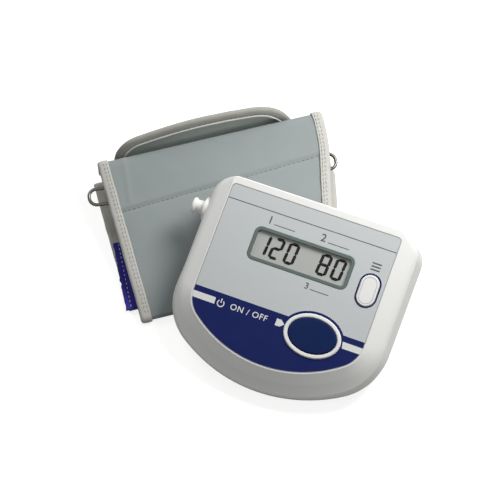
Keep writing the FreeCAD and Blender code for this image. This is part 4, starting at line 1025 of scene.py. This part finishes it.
def flap_outline(inset):
    """Outline of the flap in its own plane, from its left foot over the crown to its right foot."""
    left, right = FLAP_LEFT + inset, FLAP_RIGHT - inset
    r1, r2 = FLAP_LEFT_R - inset, FLAP_RIGHT_R - inset
    z1, z2, top = FLAP_LEFT_TOP - inset, FLAP_RIGHT_TOP - inset, FLAP_TOP - inset
    points = [(left, FLAP_FOOT)] + arc_points(left + r1, z1 - r1, r1, 180, 96, 14)
    a, b = points[-1], (right - r2, z2)
    rise = 4 * (top - (a[1] + b[1]) / 2)
    for t in (i / 12 for i in range(1, 12)):
        points.append((a[0] + (b[0] - a[0]) * t, a[1] + (b[1] - a[1]) * t + rise * t * (1 - t)))
    points += arc_points(right - r2, z2 - r2, r2, 88, 0, 16) + [(right, FLAP_FOOT)]
    return [(x, 0, z) for x, z in points]


def flap_place(x, y, z):
    """Stand a point of the flap's plane up behind the far fold, leaning back and bowed a little."""
    foot, bow = 1.7, 0.35
    out = y + bow * (z / FLAP_TOP) ** 2 * cos((x + 4) / 40)
    c, s = cos(FLAP_LEAN), sin(FLAP_LEAN)
    return Vector((x, FLAP_BACK + out * c + (z - foot) * s, foot - out * s + (z - foot) * c)) * MM


def flap_cloth():
    """Inside of the flap: one layer of brushed cloth, painted lighter to lift the shade behind the far
    fold, held between the two faces of its tape.
    """
    in_tape, thick = 1.2, 1.6
    outline = flap_outline(in_tape)

    def shape(u, v):
        edge, _ = along(outline, u)
        base_x = FLAP_LEFT + in_tape + (FLAP_RIGHT - FLAP_LEFT - 2 * in_tape) * u
        x, z = base_x + (edge.x - base_x) * v, FLAP_FOOT + (edge.z - FLAP_FOOT) * v
        wave = 0.3 * rumple(x / 24, z / 16, 4)
        return flap_place(x, -thick / 2 + wave, z)
    bm = cloth_grid(120, 30, shape)
    pull_out(bm, Vector((0, cos(FLAP_LEAN), -sin(FLAP_LEAN))) * thick * MM)
    # The flap cloth's light colour is painted light against the shade behind the fold.
    piece = finish_piece(bm, "flap_cloth", FLAP_CLOTH_PAINTED_LIGHT, "flap", place=CUFF)
    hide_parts("cuff_flap")


def flap_tape():
    """Tape folded over the flap's edge, its rolled inner edge with a painted highlight, and the stitches
    beside it.
    """
    outline, thick, puff = flap_outline(0), 2.6, 0.3
    half = thick / 2
    turn = Matrix.Rotation(-FLAP_LEAN, 3, "X")

    def wide_at(t):
        return 5.0 + 0.4 * sin(pi * t) ** 2

    def spot_at(t, inward):
        edge, way = along(outline, t)
        return edge + Vector((way.z, 0, -way.x)) * inward, way

    def shape(u, v):
        inward, height = tape_section(u, wide_at(v), thick, puff)
        inward += 0.2 * rumple(v * 20, 0.5, 0)
        spot, _ = spot_at(v, inward)
        return flap_place(spot.x, -height, max(FLAP_FOOT, spot.z))
    bm = cloth_grid(26, 150, shape)
    thicken(bm, 0.35 * MM)
    # The tape's darker colour is painted shade.
    piece = finish_piece(bm, "flap_edge_tape", FLAP_TAPE_PAINTED_SHADE, "flap", place=CUFF)
    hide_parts("flap_binding")

    def roll(u, v):
        a, r, t = tau * u, 0.7, 0.03 + 0.94 * v
        on_tape, before_tape = 0.2, 0.35
        wobble = 0.15 * rumple(v * 20, 0.5, 0)
        spot, _ = spot_at(t, wide_at(t) - on_tape + r * cos(a) + wobble)
        return flap_place(spot.x, -half - before_tape - r * sin(a), spot.z)
    edge_roll = cloth_grid(10, 150, roll)
    bmesh.ops.remove_doubles(edge_roll, verts=edge_roll.verts, dist=0.01 * MM)
    bmesh.ops.holes_fill(edge_roll, edges=[e for e in edge_roll.edges if e.is_boundary])
    face_out(edge_roll)
    # The roll's near-white colour is a painted highlight along the tape's inner fold.
    finish_piece(edge_roll, "flap_tape_roll", ROLL_TAPE_PAINTED_HIGHLIGHT, "flap", place=CUFF)

    def path(t):
        place, from_roll, out_of_tape = 0.06 + 0.88 * t, 1.6, 0.38
        wide = wide_at(place)
        spot, way = spot_at(place, wide - from_roll)
        height = half + puff * sin(pi * from_roll / (wide - half)) + out_of_tape
        spot = CUFF @ flap_place(spot.x, -height, spot.z)
        return spot, turn @ Vector((way.x, 0, way.z)), turn @ Vector((0, -1, 0))
    stitch_row("flap_stitches", path, THREAD_TAPE, "flap", long_mm=2.1, pitch_mm=3.0, thick_mm=0.4)


upper_cloth()
for side in ("left", "right"):
    side_tape(side + "_edge_tape", side == "left", side + "_binding")
for side in ("left", "right"):
    tape_stitches(side + "_tape_stitches", side == "left", 4.7, 0.0)
    tape_stitches(side + "_tape_zigzag", side == "left", 3.0, 0.55)
seam_stitches()
lower_cloth()
for side in ("left", "right"):
    lower_tape("lower_" + side + "_tape", "lower_" + side + "_binding", side == "left")
hook_patch()
ring_sleeve()
lining_pad()
flap_cloth()
flap_tape()


# ---- stage, light and camera ----
def pale_floor():
    """White studio sweep: plain white to the camera, but it takes the object's shadow."""
    bm = bmesh.new()
    bmesh.ops.create_grid(bm, x_segments=2, y_segments=2, size=3.0)
    mesh = bpy.data.meshes.new("studio_floor")
    bm.to_mesh(mesh)
    bm.free()
    material, tree, shader = start_material("white_studio_paper", "#BEBEBC", 0.9, Specular_IOR_Level=0.0,
                                            Emission_Color=(1, 1, 1, 1))
    seen = add(tree, "ShaderNodeLightPath").outputs["Is Camera Ray"]
    lit = add(tree, "ShaderNodeMapRange", {"Value": seen, "To Min": 0.0, "To Max": 0.8})
    tree.links.new(lit.outputs[0], shader.inputs["Emission Strength"])
    mesh.materials.append(material)
    floor = new_object("studio_floor", mesh)
    floor.location = (0, 0, -0.2 * MM)


def lamp(name, place, size, energy):
    """A round soft box that faces the part."""
    light = bpy.data.lights.new(name, "AREA")
    light.shape, light.size, light.energy = "DISK", size, energy
    holder = new_object(name, light)
    holder.location = place
    holder.rotation_euler = holder.location.to_track_quat("Z", "Y").to_euler()


def studio_light():
    """A soft key close on the right, a weak fill behind on the left, and a pale even surround."""
    world = bpy.data.worlds.new("studio")
    bpy.context.scene.world = world
    world.use_nodes = True
    tree = world.node_tree
    tree.nodes.clear()
    rays = add(tree, "ShaderNodeLightPath").outputs
    seen = rays["Is Camera Ray"]
    for ray in ("Is Glossy Ray", "Is Transmission Ray"):
        seen = add(tree, "ShaderNodeMath", {0: seen, 1: rays[ray]}, operation="MAXIMUM").outputs[0]
    strength = add(tree, "ShaderNodeMapRange", {"Value": seen, "To Min": 0.225, "To Max": 1.0})
    surround = add(tree, "ShaderNodeBackground", {"Color": (1, 1, 1, 1), "Strength": strength.outputs[0]})
    add(tree, "ShaderNodeOutputWorld", {"Surface": surround.outputs[0]})
    lamp("key", (0.264, 0.071, 0.382), 0.24, 2.08)
    lamp("fill", (-0.2, 0.45, 0.4), 0.3, 0.68)


def camera():
    """Long lens from the left front, high up."""
    azimuth, elevation, distance = radians(15.82), radians(58.5), 0.9
    half_width, focal_length = 240, 1525.2
    target = CUFF @ (Vector((-2.0, -69.39, 15)) * MM)
    view = Vector((sin(azimuth) * cos(elevation), cos(azimuth) * cos(elevation), -sin(elevation)))
    data = bpy.data.cameras.new("camera")
    data.sensor_fit = "HORIZONTAL"
    data.angle = 2 * atan(half_width / focal_length)
    data.clip_start, data.clip_end = 0.05, 20
    eye = new_object("camera", data)
    eye.location = target - view * distance
    eye.rotation_euler = view.to_track_quat("-Z", "Y").to_euler()
    bpy.context.scene.camera = eye


pale_floor()
studio_light()
camera()
bpy.context.scene.view_settings.view_transform = "Standard"
